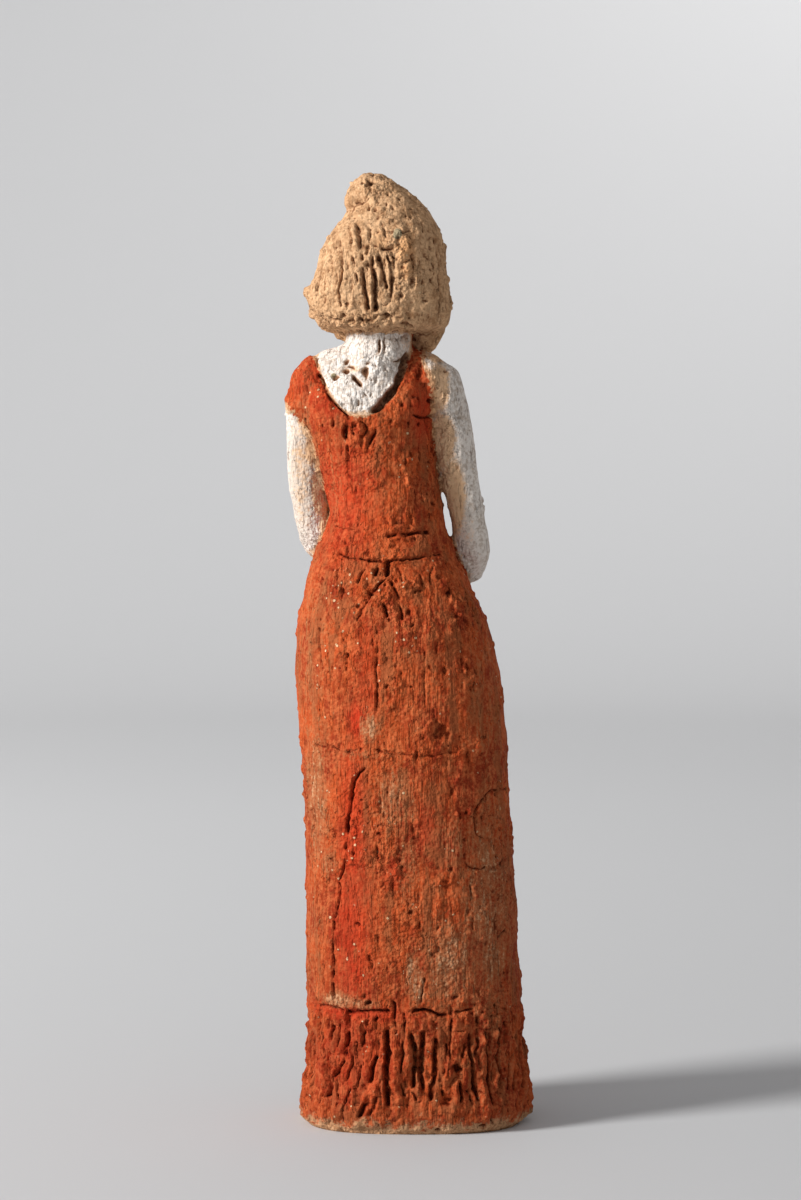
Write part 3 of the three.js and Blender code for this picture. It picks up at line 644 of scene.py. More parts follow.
# Round hollows: x, z, half width, half height and depth. A negative depth stands proud.
holes = [
    (18.8, 394.2, 2.6, 2.2, 2.6), (21.5, 394.5, 1.6, 0.9, 1.4), (17.4, 398.5, 0.9, 0.9, 1.0),
    (20.1, 387.3, 0.9, 0.7, 0.9), (25.0, 379.6, 0.8, 0.8, 0.8), (12.2, 385.1, 0.9, 1.2, 0.8),
    (6.6, 387.8, 1.0, 1.4, 0.9), (6.4, 346.8, 1.1, 1.2, 1.6), (5.1, 358.6, 2.2, 1.6, 0.9),
    (-6.9, 371.2, 1.0, 1.0, 1.0), (-6.4, 353.2, 1.2, 1.5, 1.2), (-8.9, 350.0, 1.3, 1.2, 1.1),
    (-12.3, 347.8, 0.9, 1.0, 1.0), (-3.9, 344.4, 0.9, 1.0, 1.0), (-10.2, 361.4, 1.0, 1.2, 0.8),
    (1.4, 354.2, 1.2, 1.4, 0.9), (33.2, 344.4, 0.9, 0.9, 0.8), (34.1, 338.8, 1.0, 1.0, 1.0),
    (29.9, 339.1, 1.1, 0.9, 1.2), (25.3, 336.4, 1.0, 1.1, 1.3), (2.7, 339.8, 1.4, 1.0, 0.8),
    (33.2, 313.2, 2.2, 1.8, 2.4), (28.8, 316.1, 1.7, 1.5, 2.4), (21.1, 316.6, 1.9, 2.7, 2.3),
    (28.7, 320.3, 1.4, 1.3, 1.8), (18.2, 312.5, 0.8, 0.9, 0.9), (16.5, 318.7, 0.9, 1.5, 1.0),
    (4.7, 330.5, 2.2, 1.6, 0.9), (0.5, 330.5, 1.6, 1.8, 0.9), (29.4, 302.5, 0.8, 0.8, 0.8),
    (25.9, 319.4, 1.4, 1.0, 0.6), (-12.6, 316.4, 1.6, 1.2, 1.2), (-6.4, 303.9, 1.4, 1.6, 1.8),
    (-12.0, 306.8, 0.8, 1.2, 0.8), (-9.4, 309.3, 1.0, 0.9, 0.6), (25.0, 293.4, 1.2, 1.6, 1.4),
    (5.5, 302.1, 1.0, 1.4, 1.0), (2.6, 294.3, 1.2, 1.6, 1.2), (-1.9, 293.9, 1.0, 1.6, 1.2),
    (0.6, 305.1, 1.0, 1.2, 0.9), (10.1, 295.5, 0.9, 0.9, 0.9), (-9.4, 242.8, 0.8, 0.9, 0.8),
    (17.9, 224.2, 2.0, 1.2, 2.2), (20.4, 221.8, 1.0, 1.0, 1.0), (-0.2, 225.0, 1.0, 1.4, 1.2),
    (10.9, 213.7, 0.9, 1.4, 1.2), (-14.4, 224.7, 1.8, 1.6, 2.0), (2.7, 216.9, 1.1, 1.7, 1.6),
    (0.6, 211.2, 1.0, 1.2, 1.2), (29.9, 226.5, 0.8, 1.3, 1.0), (8.0, 195.3, 1.0, 1.2, 1.0),
    (5.6, 192.0, 1.0, 1.0, 1.0), (30.7, 193.7, 0.7, 0.9, 0.9), (36.1, 192.3, 0.9, 0.9, 0.9),
    (22.6, 139.1, 1.3, 1.2, 1.1), (19.6, 136.6, 1.0, 1.0, 0.9),
    (14.6, 125.1, 1.0, 1.0, 0.9), (34.8, 113.3, 1.4, 1.6, 1.2), (1.8, 92.4, 2.0, 1.3, 1.2),
    (-9.3, 86.5, 1.1, 1.3, 1.1), (6.4, 114.4, 0.9, 1.1, 0.9), (-21.4, 133.6, 1.1, 0.9, 0.9),
    (-23.5, 131.6, 1.0, 1.1, 0.9), (-20.1, 122.2, 0.8, 1.2, 0.9), (-26.6, 109.6, 1.2, 1.0, 1.0),
    (-35.8, 111.4, 1.2, 1.5, 1.1), (19.2, 55.2, 1.7, 1.5, 2.2), (20.9, 57.8, 1.0, 1.4, 1.2),
    (-16.4, 57.6, 2.2, 1.3, 1.2), (41.6, 45.5, 1.9, 1.0, 1.8), (-17.2, 28.1, 1.8, 2.1, 3.0),
    (-11.4, 17.7, 1.3, 1.9, 2.0), (-14.1, 15.2, 1.1, 1.1, 1.4), (-32.8, 52.6, 0.9, 1.1, 1.4),
    (-37.1, 50.5, 1.0, 1.2, 1.2), (-42.1, 48.8, 1.1, 1.4, 1.3), (-36.7, 44.6, 1.0, 1.3, 1.4),
    (-39.2, 22.8, 1.0, 1.4, 1.6), (16.3, 48.4, 1.6, 1.4, 1.4), (-9.3, 2.5, 1.5, 1.6, 1.6),
    (1.0, 158.6, 1.2, 0.8, 0.9), (-2.4, 157.8, 0.9, 0.7, 0.8), (-7.4, 157.4, 1.5, 0.8, 1.0),
    (-13.8, 158.9, 1.1, 0.7, 0.9), (11.0, 159.6, 1.3, 0.8, 0.9), (22.6, 160.4, 1.0, 0.8, 0.9),
    (27.6, 159.2, 1.4, 0.9, 1.0), (36.4, 161.4, 1.2, 0.8, 1.0), (-27.6, 3.0, 1.5, 1.2, 1.6), (-31.8, 5.0, 1.1, 1.3, 1.6), (-1.9, 14.2, 1.3, 1.1, 1.2),
]  # fmt: skip
fingerPress = [
    (-10.9, 167.8, 7.0, 6.8, -0.7), (-10.9, 167.8, 5.4, 5.2, 2.2),
]  # fmt: skip
lumps = [
    (-5.0, 158.6, 1.5, 0.9, -0.7), (4.2, 159.4, 1.3, 0.8, -0.6), (-10.6, 157.2, 1.2, 0.8, -0.6),
    (25.2, 160.6, 1.5, 0.9, -0.7), (32.8, 161.2, 1.3, 0.9, -0.7), (39.8, 161.8, 1.4, 1.0, -0.7),
    (22.5, 291.4, 2.0, 2.6, -0.9), (-5.6, 170.4, 2.0, 4.2, -0.7), (28.8, 38.3, 1.4, 1.4, -0.7),
    (18.8, 38.5, 1.6, 1.8, -1.0), (38.6, 28.5, 1.8, 1.6, -1.1), (33.8, 26.6, 1.4, 1.5, -0.9),
    (3.5, 24.3, 1.4, 1.6, -1.0), (5.5, 16.3, 1.9, 2.0, -1.0), (-1.1, 18.3, 1.4, 1.6, -1.0),
    (36.0, 47.3, 2.6, 1.8, -1.1), (-28.9, 24.2, 1.5, 1.6, -1.0), (-34.4, 23.7, 1.6, 1.0, -1.0),
    (33.4, 315.1, 2.6, 2.2, -0.7), (-7.0, 300.2, 1.6, 1.4, -1.1), (7.2, 372.7, 1.7, 2.3, -1.2),
    (4.7, 368.6, 2.6, 4.6, -0.6), (10.1, 354.9, 1.2, 5.0, -0.4), (12.5, 346.3, 2.2, 3.2, -0.4),
    (10.9, 289.3, 1.2, 1.0, -0.6), (3.9, 286.8, 1.2, 1.0, -0.6), (29.2, 281.4, 2.0, 1.6, -0.6),
    (33.0, 278.9, 3.0, 2.6, -0.5), (23.8, 287.6, 1.6, 1.2, -0.5), (7.2, 248.3, 2.2, 1.5, -1.3),
    (31.2, 227.3, 1.2, 4.0, -0.5), (17.9, 232.8, 1.4, 2.6, -0.6), (-13.1, 54.7, 1.6, 0.9, -0.5),
    (42.8, 13.7, 2.4, 3.4, -0.7), (-45.4, 15.1, 2.0, 3.2, -0.7),
]  # fmt: skip



def surfaceAt(x, z, behind=True):
    # The point of the clay at x and z, seen from behind or from before.
    way = 1 if behind else -1
    start = Vector((x / 1000, 0.2 * way, z / 1000))
    hit, place, _, _ = figure.ray_cast(start, Vector((0, -way, 0)))
    if not hit:
        place = figure.closest_point_on_mesh(Vector((x / 1000, 0.01 * way, z / 1000)))[1]
    return np.array(place) * 1000


def strokeDepth(points, route, width, depth, ragged, wander):
    # How deep a stroke goes at each point, with a little clay raised along its sides.
    push = np.zeros(len(points))
    low = route.min(0) - 2 * width
    high = route.max(0) + 2 * width
    near = np.flatnonzero(((points > low) & (points < high)).all(axis=1))
    if not len(near):
        return push
    away, along, length = alongRoute(points[near], route)
    away = away * (1 + 0.35 * ragged[near]) / (width / 2)
    ends = smoothStep(np.minimum(along, length - along), -0.2 * width, width)
    groove = -depth * np.where(away < 1, (1 - np.minimum(away, 1) ** 2) ** 1.5, 0)
    lip = 0.16 * depth * np.exp(-(((away - 1.35) / 0.35) ** 2))
    valley = -0.3 * depth * np.exp(-((away / 2.2) ** 2))
    uneven = 0.85 + 0.45 * ragged[near] + 0.35 * wander[near]
    push[near] = (groove + lip + valley) * ends * np.clip(uneven, 0.3, 1.4)
    return push


def dimpleDepth(points, hole, ragged):
    x, z, wide, tall, depth = hole
    middle = surfaceAt(x, z)
    push = np.zeros(len(points))
    size = np.array([wide, max(wide, tall) * 2, tall])
    near = np.flatnonzero((np.abs(points - middle) < 2 * size).all(axis=1))
    away = np.linalg.norm((points[near] - middle) / size, axis=1) * (1 + 0.6 * ragged[near])
    push[near] = -depth * np.where(away < 1, (1 - np.minimum(away, 1) ** 2) ** 1.3, 0)
    return push


points = readPoints(figure)
edges = readEdges(figure)
outwards = spreadOut(readNormals(figure), edges, 3)
outwards /= np.linalg.norm(outwards, axis=1)[:, None]
calm = np.where(isFace(points) | isHand(points), 0.3, 1.0)
calm = spreadOut(calm[:, None], edges, 40)[:, 0]
ragged = noise(points, 1.7, 11) * calm
wander = noise(points, 5.5, 17)
bent = points.copy()  # strokes are laid on bent space, so that their edges are torn
for i in range(3):
    bent[:, i] += (noise(points, 4.2, 21 + i) * 0.5 + noise(points, 1.7, 31 + i) * 0.35) * calm
bpy.context.view_layer.update()

cut = np.zeros(len(points))  # everything that goes in, by its deepest
raised = np.zeros(len(points))


def carve(width, depth, route):
    push = strokeDepth(bent, rounded(np.array(route)), width, depth, ragged, wander)
    np.minimum(cut, push, out=cut)
    np.maximum(raised, push, out=raised)


for width, depth, line in hairGrooves + dressCreases + neckGaps + hemCut + fringe:
    carve(width, depth, [surfaceAt(x, z) for x, z in line])
for width, depth, line in pairedLines + middleLines:
    for way in (1, -1) if line[0][0] > 0 else (1,):
        places = [(faceMiddle[0] + way * x, faceMiddle[1] + z) for x, z in line]
        carve(width, depth, [surfaceAt(x, z, behind=False) for x, z in places])
for width, depth, line in handLines + frontHair:
    carve(width, depth, [surfaceAt(x, z, behind=False) for x, z in line])
for hole in holes + lumps:
    push = dimpleDepth(bent, hole, ragged)
    cut = np.minimum(cut, push)
    raised = np.maximum(raised, push)

# The fringe goes on round the sides and the front, and the hair is combed down at the sides.
dice = np.random.default_rng(7)
combed = [
    {"from": 160, "to": 380, "step": 3.6, "middle": 0, "top": (37, 46), "low": (10, 20), "bold": 1.0},
    {"from": 146, "to": 214, "step": 7, "middle": 13, "top": (364, 380), "low": (337, 350), "bold": 0.35},
    {"from": -34, "to": 30, "step": 7, "middle": 13, "top": (362, 378), "low": (338, 350), "bold": 0.35},
]
for comb in combed:
    angle = comb["from"]
    while angle < comb["to"]:
        bold = (dice.random() < 0.6) * comb["bold"]
        width = dice.uniform(1.2, 2.0) + 1.1 * bold
        depth = dice.uniform(0.8, 1.6) + 1.4 * bold
        top = dice.uniform(*comb["top"])
        low = dice.uniform(*comb["low"])
        route = []
        for share in np.linspace(0, 1, 5):
            turn = math.radians(angle + dice.uniform(-1, 1) + 2.5 * share * math.cos(math.radians(angle)))
            start = Vector((comb["middle"], 0, top + (low - top) * share)) / 1000
            out = Vector((math.cos(turn), math.sin(turn), 0))
            hit, place, _, _ = figure.ray_cast(start + out * 0.2, -out)
            route.append(np.array(place) * 1000)
        carve(width, depth, route)
        angle += comb["step"] * dice.uniform(0.7, 1.3)
print("strokes carved")

# Where the three surfaces are: white slip on the skin, red on the dress, bare clay on the hair.
def regions(points):
    x, y, z = points.T
    reach, _, radius = sectionReach(points, skirtRows)
    fromGown = np.abs(reach - 1) * radius
    fromRight = np.abs(limbGap(points, rightArm))
    fromLeft = np.abs(limbGap(points, leftArm))
    onRight = smoothStep(fromGown - fromRight, -1.5, 1.5) * (x < -4) * (z < 326) * (z > 225)
    onRight = np.maximum(onRight, (x < -9.2) * (z > 296) * (z < 326))
    proud = smoothStep((reach - 1) * radius, 0.8, 2.0)
    onRight = np.maximum(onRight, (y < -16) * (x < 3) * (z > 226) * (z < 250) * (fromRight < 3) * proud)
    belowSleeve = smoothStep(296 + (x - 49) * 1.05 - z, -0.8, 0.8)
    onLeft = smoothStep(fromGown - fromLeft, -1.5, 1.5) * (x > 30) * (z > 230) * belowSleeve
    onLeft = np.maximum(onLeft, (y < -16) * (x > 16) * (z > 230) * (z < 252) * (fromLeft < 3) * proud)
    across = (x - 22.5) / np.where(x > 22.5, 20.0, 20.5)
    neckline = 298 + 27 * np.clip(np.abs(across), 0, 1.6) ** 2.6
    back = smoothStep(z - neckline, -0.5, 0.5) * (np.abs(across) < 1.02)
    skin = np.maximum.reduce([onRight, onLeft, back * (z < 345), isHand(points) * proud])
    skin = np.maximum(skin, isFace(points) * 1.0)
    onLock = (np.minimum(limbGap(points, rightLock), limbGap(points, leftLock)) < 1.3) & (z > 320)
    overNeck = (z > 331.5) | onLock
    underHair = np.linalg.norm((points - (14.8, 0, 331)) / (14.5, 15.5, 6), axis=1) < 1
    hair = overNeck & ~isFace(points) & (~underHair | onLock)
    return np.where(hair, 0, skin), hair * 1.0


white, bare = regions(points)
dressed = 1 - np.maximum(white, bare)

# The hand-pressed surface: broad lumps and finger marks, and where the clay tore, a crumbly
# crust. Torn places: x, z, half width, half height and strength.
tornPatches = [
    (-2, 278, 12, 26, 0.6), (8, 228, 24, 16, 0.9), (30, 225, 9, 18, 0.6), (-16, 215, 12, 14, 0.8),
    (20, 285, 10, 16, 0.6), (20, 120, 20, 26, 0.5), (0, 75, 26, 26, 0.4), (-34, 120, 10, 34, 0.7),
    (-2, 350, 12, 16, 0.9), (2, 370, 10, 10, 0.7), (8, 366, 6, 7, 1.0), (20, 336, 24, 4, 1.0),
    (18, 393, 8, 6, 0.8), (22, 352, 10, 16, 0.4), (40, 348, 5, 12, 0.6), (20, 54, 30, 5, 0.5),
    (-15, 288, 5, 30, 1.0), (4, 159, 36, 2.6, 0.8), (41, 270, 4, 30, 0.8), (14, 320, 10, 12, 0.5), (-30, 52, 14, 8, 0.8),
]  # fmt: skip


def patchwork(points, patches):
    made = np.zeros(len(points))
    for x, z, wide, tall, strength in patches:
        away = ((points[:, 0] - x) / wide) ** 2 + ((points[:, 2] - z) / tall) ** 2
        made = np.maximum(made, strength * np.exp(-(away**1.5)))
    return made * (points[:, 1] > -12)


crust = smoothStep(noise(points, 9, 15) + 0.6 * noise(points, 3.5, 16), 0.25, 0.95) * 0.45
torn = patchwork(points, tornPatches) * smoothStep(noise(points, 6, 26), -0.5, 0.3)
torn = np.clip(np.maximum(crust, torn) + 0.5 * crust, 0, 1.2)
hemPart = (1 - smoothStep(points[:, 2], 46, 53)) * smoothStep(points[:, 2], 1, 5)
surface = 0.6 * noise(points, 15, 1) + 0.38 * noise(points, 6.5, 2)
rough = 0.4 + 0.35 * bare + 0.9 * torn + 0.4 * hemPart
surface += rough * (0.24 * noise(points, 3.1, 5) + 0.20 * noise(points, 1.7, 6) + 0.12 * noise(points, 1.1, 18))
surface += torn * (0.30 * billow(bent, 4.0, 3) + 0.22 * billow(bent, 2.1, 14))
flakes = 0.5 * smoothStep(noise(bent, 4.6, 24), -0.1, 0.1) + 0.32 * smoothStep(noise(bent, (2.4, 2.4, 3.6), 25), -0.1, 0.1)
surface += flakes * (0.12 + 1.1 * torn + 0.3 * bare + 0.2 * hemPart)
drawn = dressed * (0.35 + 0.65 * smoothStep(noise(points, 15, 28), -0.3, 0.4))
surface += 0.25 * noise(bent, (2.6, 2.6, 15), 4) * drawn + 0.25 * noise(bent, (1.9, 1.9, 12), 19) * bare
surface += 0.11 * noise(bent, (1.5, 1.5, 13), 27) * drawn
for press in fingerPress:
    surface += dimpleDepth(points, press, ragged)
wiped = np.exp(-(((points[:, 0] + 14) / 24) ** 4) - ((points[:, 2] - 5) / 6) ** 4) * (points[:, 1] > 0)
chunky = hemPart * (1 - 0.9 * wiped)
surface += chunky * (0.9 * billow(bent, (4.2, 4.2, 15), 12) + 0.7 * billow(bent, (3.4, 3.4, 5), 13))
surface += hemPart * 0.7 * noise(points, (7, 7, 9), 23)

# Pits and crumbs: how many, half width, how tall for its width, and depth.
scattered = [
    (420, (0.7, 1.3), (0.9, 2.2), (0.5, 1.3)),
    (900, (0.7, 1.7), (0.8, 1.8), (-0.8, -0.25)),
    (300, (0.7, 1.0), (2.5, 7.0), (0.4, 1.0)),
]
odds = 0.2 + torn + 0.5 * hemPart + 0.35 * bare
odds = odds * (1 - 0.6 * white) * (1 - 0.9 * wiped) * (points[:, 2] > 2) * ~(isFace(points) | isHand(points))
odds /= odds.sum()
for count, widths, talls, depths in scattered:
    for middle in points[dice.choice(len(points), count, p=odds)]:
        wide = dice.uniform(*widths)
        size = np.array([wide, wide, wide * dice.uniform(*talls)])
        near = np.flatnonzero((np.abs(bent - middle) < size).all(axis=1))
        away = np.linalg.norm((bent[near] - middle) / size, axis=1)
        push = -dice.uniform(*depths) * np.maximum(0, 1 - away**2) ** 0.8
        surface[near] += push
push = (surface * calm + raised + cut) * smoothStep(points[:, 2], -0.1, 2.5)
points += outwards * push[:, None]
points[:, 2] = np.maximum(points[:, 2], 0)
writePoints(figure, points)
keepValues("groove", np.clip(-cut / 2.2, 0, 1))
keepValues("calm", (1 - calm) / 0.7)
print("surface pressed")

# The side seen in the photograph keeps more of the clay's detail.
choose(figure)
bpy.ops.object.mode_set(mode="EDIT")
bpy.ops.mesh.select_all(action="SELECT")
bpy.ops.mesh.quads_convert_to_tris()
bpy.ops.object.mode_set(mode="OBJECT")
for behind, wanted in ((True, clay["backTriangles"]), (False, clay["frontTriangles"])):
    points = readPoints(figure)
    there = (points[:, 1] > -4) == behind
    there &= ~(isFace(points) | isHand(points))
    corners = np.empty(len(figure.data.loops), dtype=np.int32)
    figure.data.loops.foreach_get("vertex_index", corners)
    faces = there[corners.reshape(-1, 3)].all(axis=1)
    figure.data.vertices.foreach_set("select", there)
    figure.data.edges.foreach_set("select", there[readEdges(figure)].all(axis=1))
    figure.data.polygons.foreach_set("select", faces)
    bpy.ops.object.mode_set(mode="EDIT")
    bpy.ops.mesh.decimate(ratio=min(1, wanted / faces.sum()))
    bpy.ops.object.mode_set(mode="OBJECT")
# Specks shut in between the arm, the hair and the dress go: all that isn't joined to the top.
isTop = np.arange(len(figure.data.vertices)) == readPoints(figure)[:, 2].argmax()
figure.data.vertices.foreach_set("select", isTop)
figure.data.edges.foreach_set("select", [False] * len(figure.data.edges))
figure.data.polygons.foreach_set("select", [False] * len(figure.data.polygons))
bpy.ops.object.mode_set(mode="EDIT")
bpy.ops.mesh.select_linked()
bpy.ops.mesh.select_all(action="INVERT")
bpy.ops.mesh.delete(type="VERT")
bpy.ops.object.mode_set(mode="OBJECT")
figure.data.polygons.foreach_set("use_smooth", [True] * len(figure.data.polygons))
print("clay at", len(figure.data.polygons), "triangles")

# What the material reads: the regions, how proud or hollow the clay is, and the paint's wear.
wornPatches = [
    (-14, 72, 13, 24, 0.8), (-30, 92, 14, 60, 0.75), (8, 139, 9, 15, 0.75), (3, 112, 6, 20, 0.5),
    (41, 140, 6, 34, 0.75), (19, 169, 5, 7, 0.9), (32, 55, 9, 4, 1.0), (1, 66, 4, 14, 0.9),
    (-16, 120, 8, 14, 0.6), (39, 210, 7, 26, 0.45), (-30, 180, 12, 40, 0.45),
    (-28, 30, 22, 24, 0.35), (-1, 30, 5, 14, 0.6), (36, 112, 4, 8, 0.7), (20, 158, 16, 3, 0.5),
    (44, 200, 5, 60, 0.45), (48, 272, 8, 34, 0.9), (43, 80, 4, 36, 0.4), (33, 270, 4, 22, 0.4), (46, 308, 8, 14, 0.3),
    (-2, 62, 3, 10, 0.9), (-31, 60, 6, 8, 0.5), (22, 54, 8, 3, 0.8),
]  # fmt: skip
vividPatches = [
    (24, 172, 4.5, 8, 1.0), (26, 128, 6, 34, 0.8), (26, 82, 8, 34, 0.8), (30, 262, 14, 26, 0.6),
    (24, 50, 22, 3.5, 0.8), (26, 30, 20, 18, 0.45), (38, 312, 16, 16, 0.5), (-3, 300, 6, 14, 0.7),
    (8, 108, 5, 6, 0.6), (20, 190, 5, 24, 0.5), (-4, 130, 4, 8, 0.5),
    (4, 366, 3.4, 6.5, 1.0), (4, 357, 3.0, 4, 0.7), (15, 370, 3, 4, 0.4),
]  # fmt: skip
grainPatches = [
    (32, 224, 7, 14, 1.0), (20, 215, 12, 22, 0.6), (4, 205, 8, 20, 0.6), (37, 195, 6, 22, 0.8),
    (20, 122, 12, 14, 0.8), (20, 75, 16, 14, 0.6), (-26, 205, 6, 4, 1.0), (12, 275, 18, 16, 0.5),
    (35, 112, 6, 10, 0.8), (40, 312, 10, 10, 0.4), (-14, 100, 12, 20, 0.3),
]  # fmt: skip
barePatches = [
    (-9.0, 309, 6.0, 12, 1.0), (-11.0, 287, 6.4, 14, 1.0), (-15.0, 263, 7.0, 20, 1.0),
    (43.0, 284, 4.0, 9, 0.9), (39.4, 267, 4.8, 13, 1.0), (36.0, 251, 5.0, 9, 1.0),
    (47, 275, 7, 32, 0.5), (-22, 250, 5, 16, 0.4), (0, 329, 8, 7, 0.5),
    (-9.0, 322, 4.0, 3.4, 0.8), (27.0, 317, 8.0, 3.0, 0.45),
]  # fmt: skip

points = readPoints(figure)
edges = readEdges(figure)
white, bare = regions(points)
white = spreadOut(white[:, None], edges, 1)[:, 0]
bare = spreadOut(bare[:, None], edges, 1)[:, 0]
seam = spreadOut(white[:, None] * (1 - bare[:, None]), edges, 3)[:, 0]
normals = readNormals(figure)
near = spreadOut(points.copy(), edges, 2)
wide = spreadOut(near.copy(), edges, 8)
relief = ((points - near) * normals).sum(1) * 1.6 + ((points - wide) * normals).sum(1) * 0.6
keepValues("border", np.clip(5 * seam * (1 - seam) - 0.1, 0, 1))
keepValues("white", white)
keepValues("bare", bare)
keepValues("relief", np.clip(0.5 + relief, 0, 1))
keepValues("worn", patchwork(points, wornPatches))
keepValues("vivid", patchwork(points, vividPatches))
keepValues("scraped", patchwork(points, barePatches))
keepValues("stone", patchwork(points, [(7.4, 372.3, 2.0, 2.5, 1.0), (34.0, 314.4, 1.5, 1.4, 0.8)]))
keepValues("grains", patchwork(points, grainPatches))
crust = smoothStep(noise(points, 9, 15) + 0.6 * noise(points, 3.5, 16), 0.25, 0.95) * 0.45
torn = patchwork(points, tornPatches) * smoothStep(noise(points, 6, 26), -0.5, 0.3)
keepValues("torn", np.clip(np.maximum(crust, torn), 0, 1))


class Wire:
    # One socket of a material, so that shader sums are written as sums.
    def __init__(self, tree, socket=None):
        self.tree = tree
        self.socket = socket

    def add(self, kind, settings=(), inputs=(), output=0):
        node = self.tree.nodes.new(kind)
        for name, value in dict(settings).items():
            setattr(node, name, value)
        for name, value in dict(inputs).items():
            if isinstance(value, Wire):
                self.tree.links.new(value.socket, node.inputs[name])
            else:
                node.inputs[name].default_value = value
        return Wire(self.tree, node.outputs[output])

    def maths(self, operation, *values):
        return self.add("ShaderNodeMath", {"operation": operation}, enumerate(values))

    def __add__(self, other):
        return self.maths("ADD", self, other)

    def __sub__(self, other):
        return self.maths("SUBTRACT", self, other)

    def __rsub__(self, other):
        return self.maths("SUBTRACT", other, self)

    def __mul__(self, other):
        return self.maths("MULTIPLY", self, other)

    def size(self):
        return self.maths("ABSOLUTE", self)

    __radd__ = __add__
    __rmul__ = __mul__

    def step(self, low, high):
        inputs = {"Value": self, "From Min": low, "From Max": high}
        return self.add("ShaderNodeMapRange", {"interpolation_type": "SMOOTHSTEP"}, inputs)

    def mix(self, a, b):
        settings = {"data_type": "RGBA", "clamp_factor": True}
        return self.add("ShaderNodeMix", settings, {0: self, 6: a, 7: b}, output=2)

    def darken(self, colour, tone):
        # The colour goes towards a darker one of its own kind by this much.
        settings = {"operation": "MULTIPLY"}
        return self.mix(colour, colour.add("ShaderNodeVectorMath", settings, {0: colour, 1: tone}))

    def attribute(self, name):
        return self.add("ShaderNodeAttribute", {"attribute_name": name}, output=2)

    def stretched(self, factors):
        return self.add("ShaderNodeVectorMath", {"operation": "MULTIPLY"}, {0: self, 1: factors})

    def cloud(self, size, detail=2, rough=0.5):
        inputs = {"Vector": self, "Scale": 1 / size, "Detail": detail, "Roughness": rough}
        return self.add("ShaderNodeTexNoise", inputs=inputs)

    def cells(self, size, output=0):
        inputs = {"Vector": self, "Scale": 1 / size}
        return self.add("ShaderNodeTexVoronoi", inputs=inputs, output=output)


def tint(red, green, blue):
    # A colour from 0 to 255 as the screen shows it.
    def linear(c):
        c /= 255
        return c / 12.92 if c <= 0.04045 else ((c + 0.055) / 1.055) ** 2.4

    return (linear(red), linear(green), linear(blue), 1)


colours = {
    "clayPale": tint(219, 176, 134),
    "clayDark": tint(164, 122, 86),
    "clayWarm": tint(224, 166, 114),
    "red": tint(178, 76, 36),
    "redDeep": tint(140, 50, 26),
    "orange": tint(208, 112, 66),
    "vivid": tint(192, 54, 29),
    "worn": tint(168, 104, 66),
    "brown": tint(148, 82, 48),
    "white": tint(236, 226, 216),
    "whiteShade": tint(198, 182, 167),
    "grain": tint(236, 200, 156),
    "stone": tint(160, 144, 114),
}
# The tone of the painted shade in hollows, pits and cracks, and of the dirt and painted shade in the grooves.
shadeAndDirtTone = (0.40, 0.30, 0.26)

paper = bpy.data.materials.new("palePaper")
paper.use_nodes = True
paperShader = paper.node_tree.nodes["Principled BSDF"]
where = Wire(paper.node_tree).add("ShaderNodeTexCoord", output=3)
away = where.add("ShaderNodeSeparateXYZ", inputs={0: where}, output=1)
# Painted shade on the backdrop: the paper is darker nearer the camera and at the foot of the key light.
paperWithPaintedShade = away.step(0.3, -1.2).mix((*studio["paperNearPaintedShade"], 1), (*studio["paper"], 1))
foot = (studio["keyAt"][0], studio["keyAt"][1], 0)
fromFoot = where.add("ShaderNodeVectorMath", {"operation": "DISTANCE"}, {0: where, 1: foot}, output=1)
paperWithPaintedShade = fromFoot.step(2.7, 1.0).mix(paperWithPaintedShade, (*studio["paperUnderKeyPaintedShade"], 1))
paper.node_tree.links.new(paperWithPaintedShade.socket, paperShader.inputs["Base Color"])
paperShader.inputs["Roughness"].default_value = 0.95
paperShader.inputs["Specular IOR Level"].default_value = 0.1
sweep.data.materials.append(paper)

firedClay = bpy.data.materials.new("firedClay")
firedClay.use_nodes = True
tree = firedClay.node_tree
shader = tree.nodes["Principled BSDF"]
start = Wire(tree)
spot = start.add("ShaderNodeTexCoord", output=3).stretched((1000, 1000, 1000))  # millimetres
upright = spot.stretched((1, 1, 0.14))
relief = start.attribute("relief")
broad = spot.cloud(20, 3)
blotch = spot.cloud(5, 4, 0.6)
speckle = spot.cloud(1.3, 3, 0.6)
streak = upright.cloud(2.4, 3, 0.55)
hairline = upright.cloud(1.3, 1, 0.5)
dressed = 1 - start.attribute("bare")
torn = start.attribute("torn")

# The clay's finest relief, in millimetres: grit, crumbs where it tore and thin upright cracks.
crumbs = 1 - spot.cells(1.6)
crack = 1 - (upright.cloud(2.1, 2, 0.6) - 0.5).size().step(0.0, 0.022)
crack = crack * streak.step(0.45, 0.62)
fine = spot.cloud(1.7, 1, 0.6)
height = fine * (0.7 + 1.3 * torn) + spot.cloud(3.4, 1) * 0.4
combing = spot.cloud(14, 2).step(0.42, 0.6) * 0.75 + 0.25
height = height + hairline * combing * dressed
height = height + (torn * 0.7 + 0.25) * crumbs - crack * 0.5

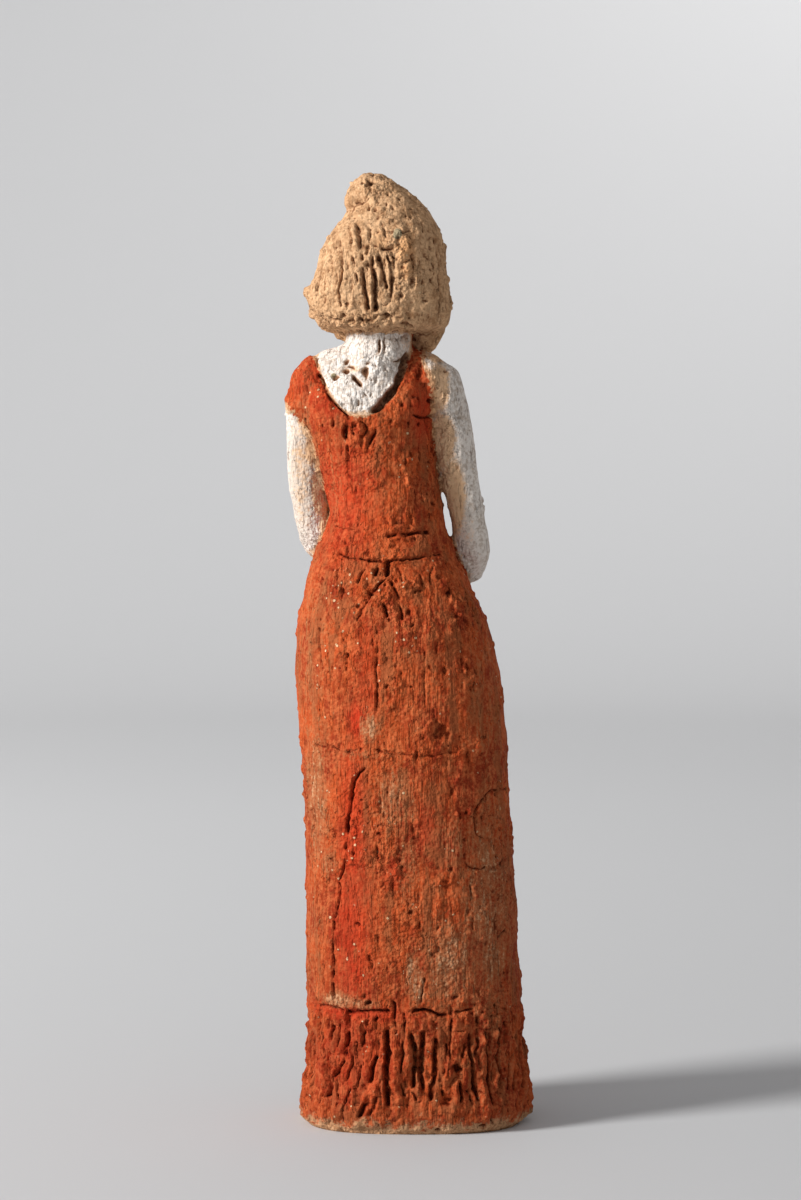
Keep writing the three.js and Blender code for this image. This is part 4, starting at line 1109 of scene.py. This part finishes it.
clayColour = (blotch * 0.5 + speckle * 0.5).step(0.34, 0.64).mix(colours["clayDark"], colours["clayPale"])
clayColour = (start.attribute("vivid") * 0.8).mix(clayColour, colours["clayWarm"])
redColour = (broad * 0.5 + streak * 0.5).step(0.38, 0.6).mix(colours["redDeep"], colours["red"])
lively = (blotch * 0.4 + hairline * 0.2 + speckle * 0.4).step(0.42, 0.62)
redColour = (lively * 0.7).mix(redColour, colours["orange"])
dragged = upright.cloud(6, 3, 0.55) * 0.7 + blotch * 0.3
redColour = (dragged.step(0.5, 0.6) * 0.7).mix(redColour, colours["brown"])
redColour = (start.attribute("vivid") * streak.step(0.2, 0.5) * 0.85).mix(redColour, colours["vivid"])
wear = start.attribute("worn") * 0.5 + streak * 0.5 + speckle * 0.6 + hairline * 0.3
tan = wear.step(1.05, 1.3).mix(colours["worn"], clayColour)
redColour = (wear.step(0.82, 1.12) * 0.75).mix(redColour, tan)
calm = start.attribute("calm")
whiteColour = (speckle * 0.6 + blotch * 0.4 + calm * 0.09).step(0.38, 0.56).mix(colours["whiteShade"], colours["white"])
scraped = start.attribute("scraped") * 0.6 + speckle * 0.45 + blotch * 0.4
whiteColour = (start.attribute("worn") * 0.8).mix(whiteColour, colours["whiteShade"])
whiteColour = (scraped.step(0.60, 0.84) * 0.92).mix(whiteColour, colours["clayPale"])
whiteColour = (start.attribute("groove").step(0.1, 0.6) * 0.85).mix(whiteColour, clayColour)

raggedEdge = (speckle - 0.5) * 1.1
whiteMask = (start.attribute("white") + raggedEdge).step(0.42, 0.58)
bareMask = (start.attribute("bare") + raggedEdge * 0.6).step(0.42, 0.58)
# Painted shade: the red gets darker towards the bottom of the skirt.
level = spot.add("ShaderNodeSeparateXYZ", inputs={0: spot}, output=2)
redColour = (1 - level.step(15, 190)).darken(redColour, (0.86, 0.86, 0.88))
base = whiteMask.mix(redColour, whiteColour)
unpainted = (start.attribute("border") + (blotch - 0.5) * 2.2 + (speckle - 0.5) * 1.2).step(0.5, 0.9)
base = (unpainted * 0.8).mix(base, clayColour)
atRim = 1 - (level * 0.1 + (blotch - 0.5) * 1.7 + (speckle - 0.5) * 0.8).step(0.25, 0.6)
base = (atRim * 0.85).mix(base, clayColour)
base = bareMask.mix(base, clayColour)
base = start.attribute("stone").step(0.3, 0.6).mix(base, colours["stone"])

grainCell = spot.cells(1.7, output=1)
grainAway = spot.cells(1.7)
clustered = spot.cloud(9, 3, 0.6).step(0.46, 0.62) * 0.10 + start.attribute("grains") * 0.16
isGrain = (grainCell + clustered).step(0.93, 0.98) * (1 - (grainAway + speckle * 0.7).step(0.56, 0.74))
base = (isGrain * 0.8).mix(base, colours["grain"])
pitSpot = spot.stretched((1, 1, 0.7))
pitCell = pitSpot.cells(2.2, output=1)
isPit = (pitCell + torn * 0.1).step(0.9, 0.95) * (1 - (pitSpot.cells(2.2) + speckle * 0.3).step(0.2, 0.42))
# Dirt and painted shade in the grooves, darker where they are deeper.
grooveDirtAndShade = start.attribute("groove").step(0.1, 0.9)
isPit = isPit * (1 - calm)
paintedShadeStrength = 1 - start.attribute("white") * 0.4
# Painted shade: pits, cracks, the hollows of the relief and the low spots of the fine relief are darkened, less of it
# on the white slip.
base = (isPit * 0.6 * paintedShadeStrength * (1 - start.attribute("bare") * 0.8)).darken(base, shadeAndDirtTone)
base = (crack * 0.6).darken(base, shadeAndDirtTone)
base = (grooveDirtAndShade * 0.85).darken(base, shadeAndDirtTone)
base = ((1 - (relief + (speckle - 0.5) * 0.5).step(-0.1, 0.34)) * paintedShadeStrength).darken(base, shadeAndDirtTone)
base = ((1 - fine.step(0.24, 0.38)) * paintedShadeStrength).darken(base, (0.72, 0.64, 0.6))

height = (height + isGrain * 0.35 - isPit * 0.7) * (1 - calm * 0.6)
bump = start.add(
    "ShaderNodeBump", inputs={"Strength": 0.9, "Distance": 0.001, "Height": height}
)
tree.links.new(base.socket, shader.inputs["Base Color"])
tree.links.new(bump.socket, shader.inputs["Normal"])
shader.inputs["Roughness"].default_value = 0.88
shader.inputs["Specular IOR Level"].default_value = 0.06
figure.data.materials.append(firedClay)
print("clay coloured")

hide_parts("figure")
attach(figure, "root")
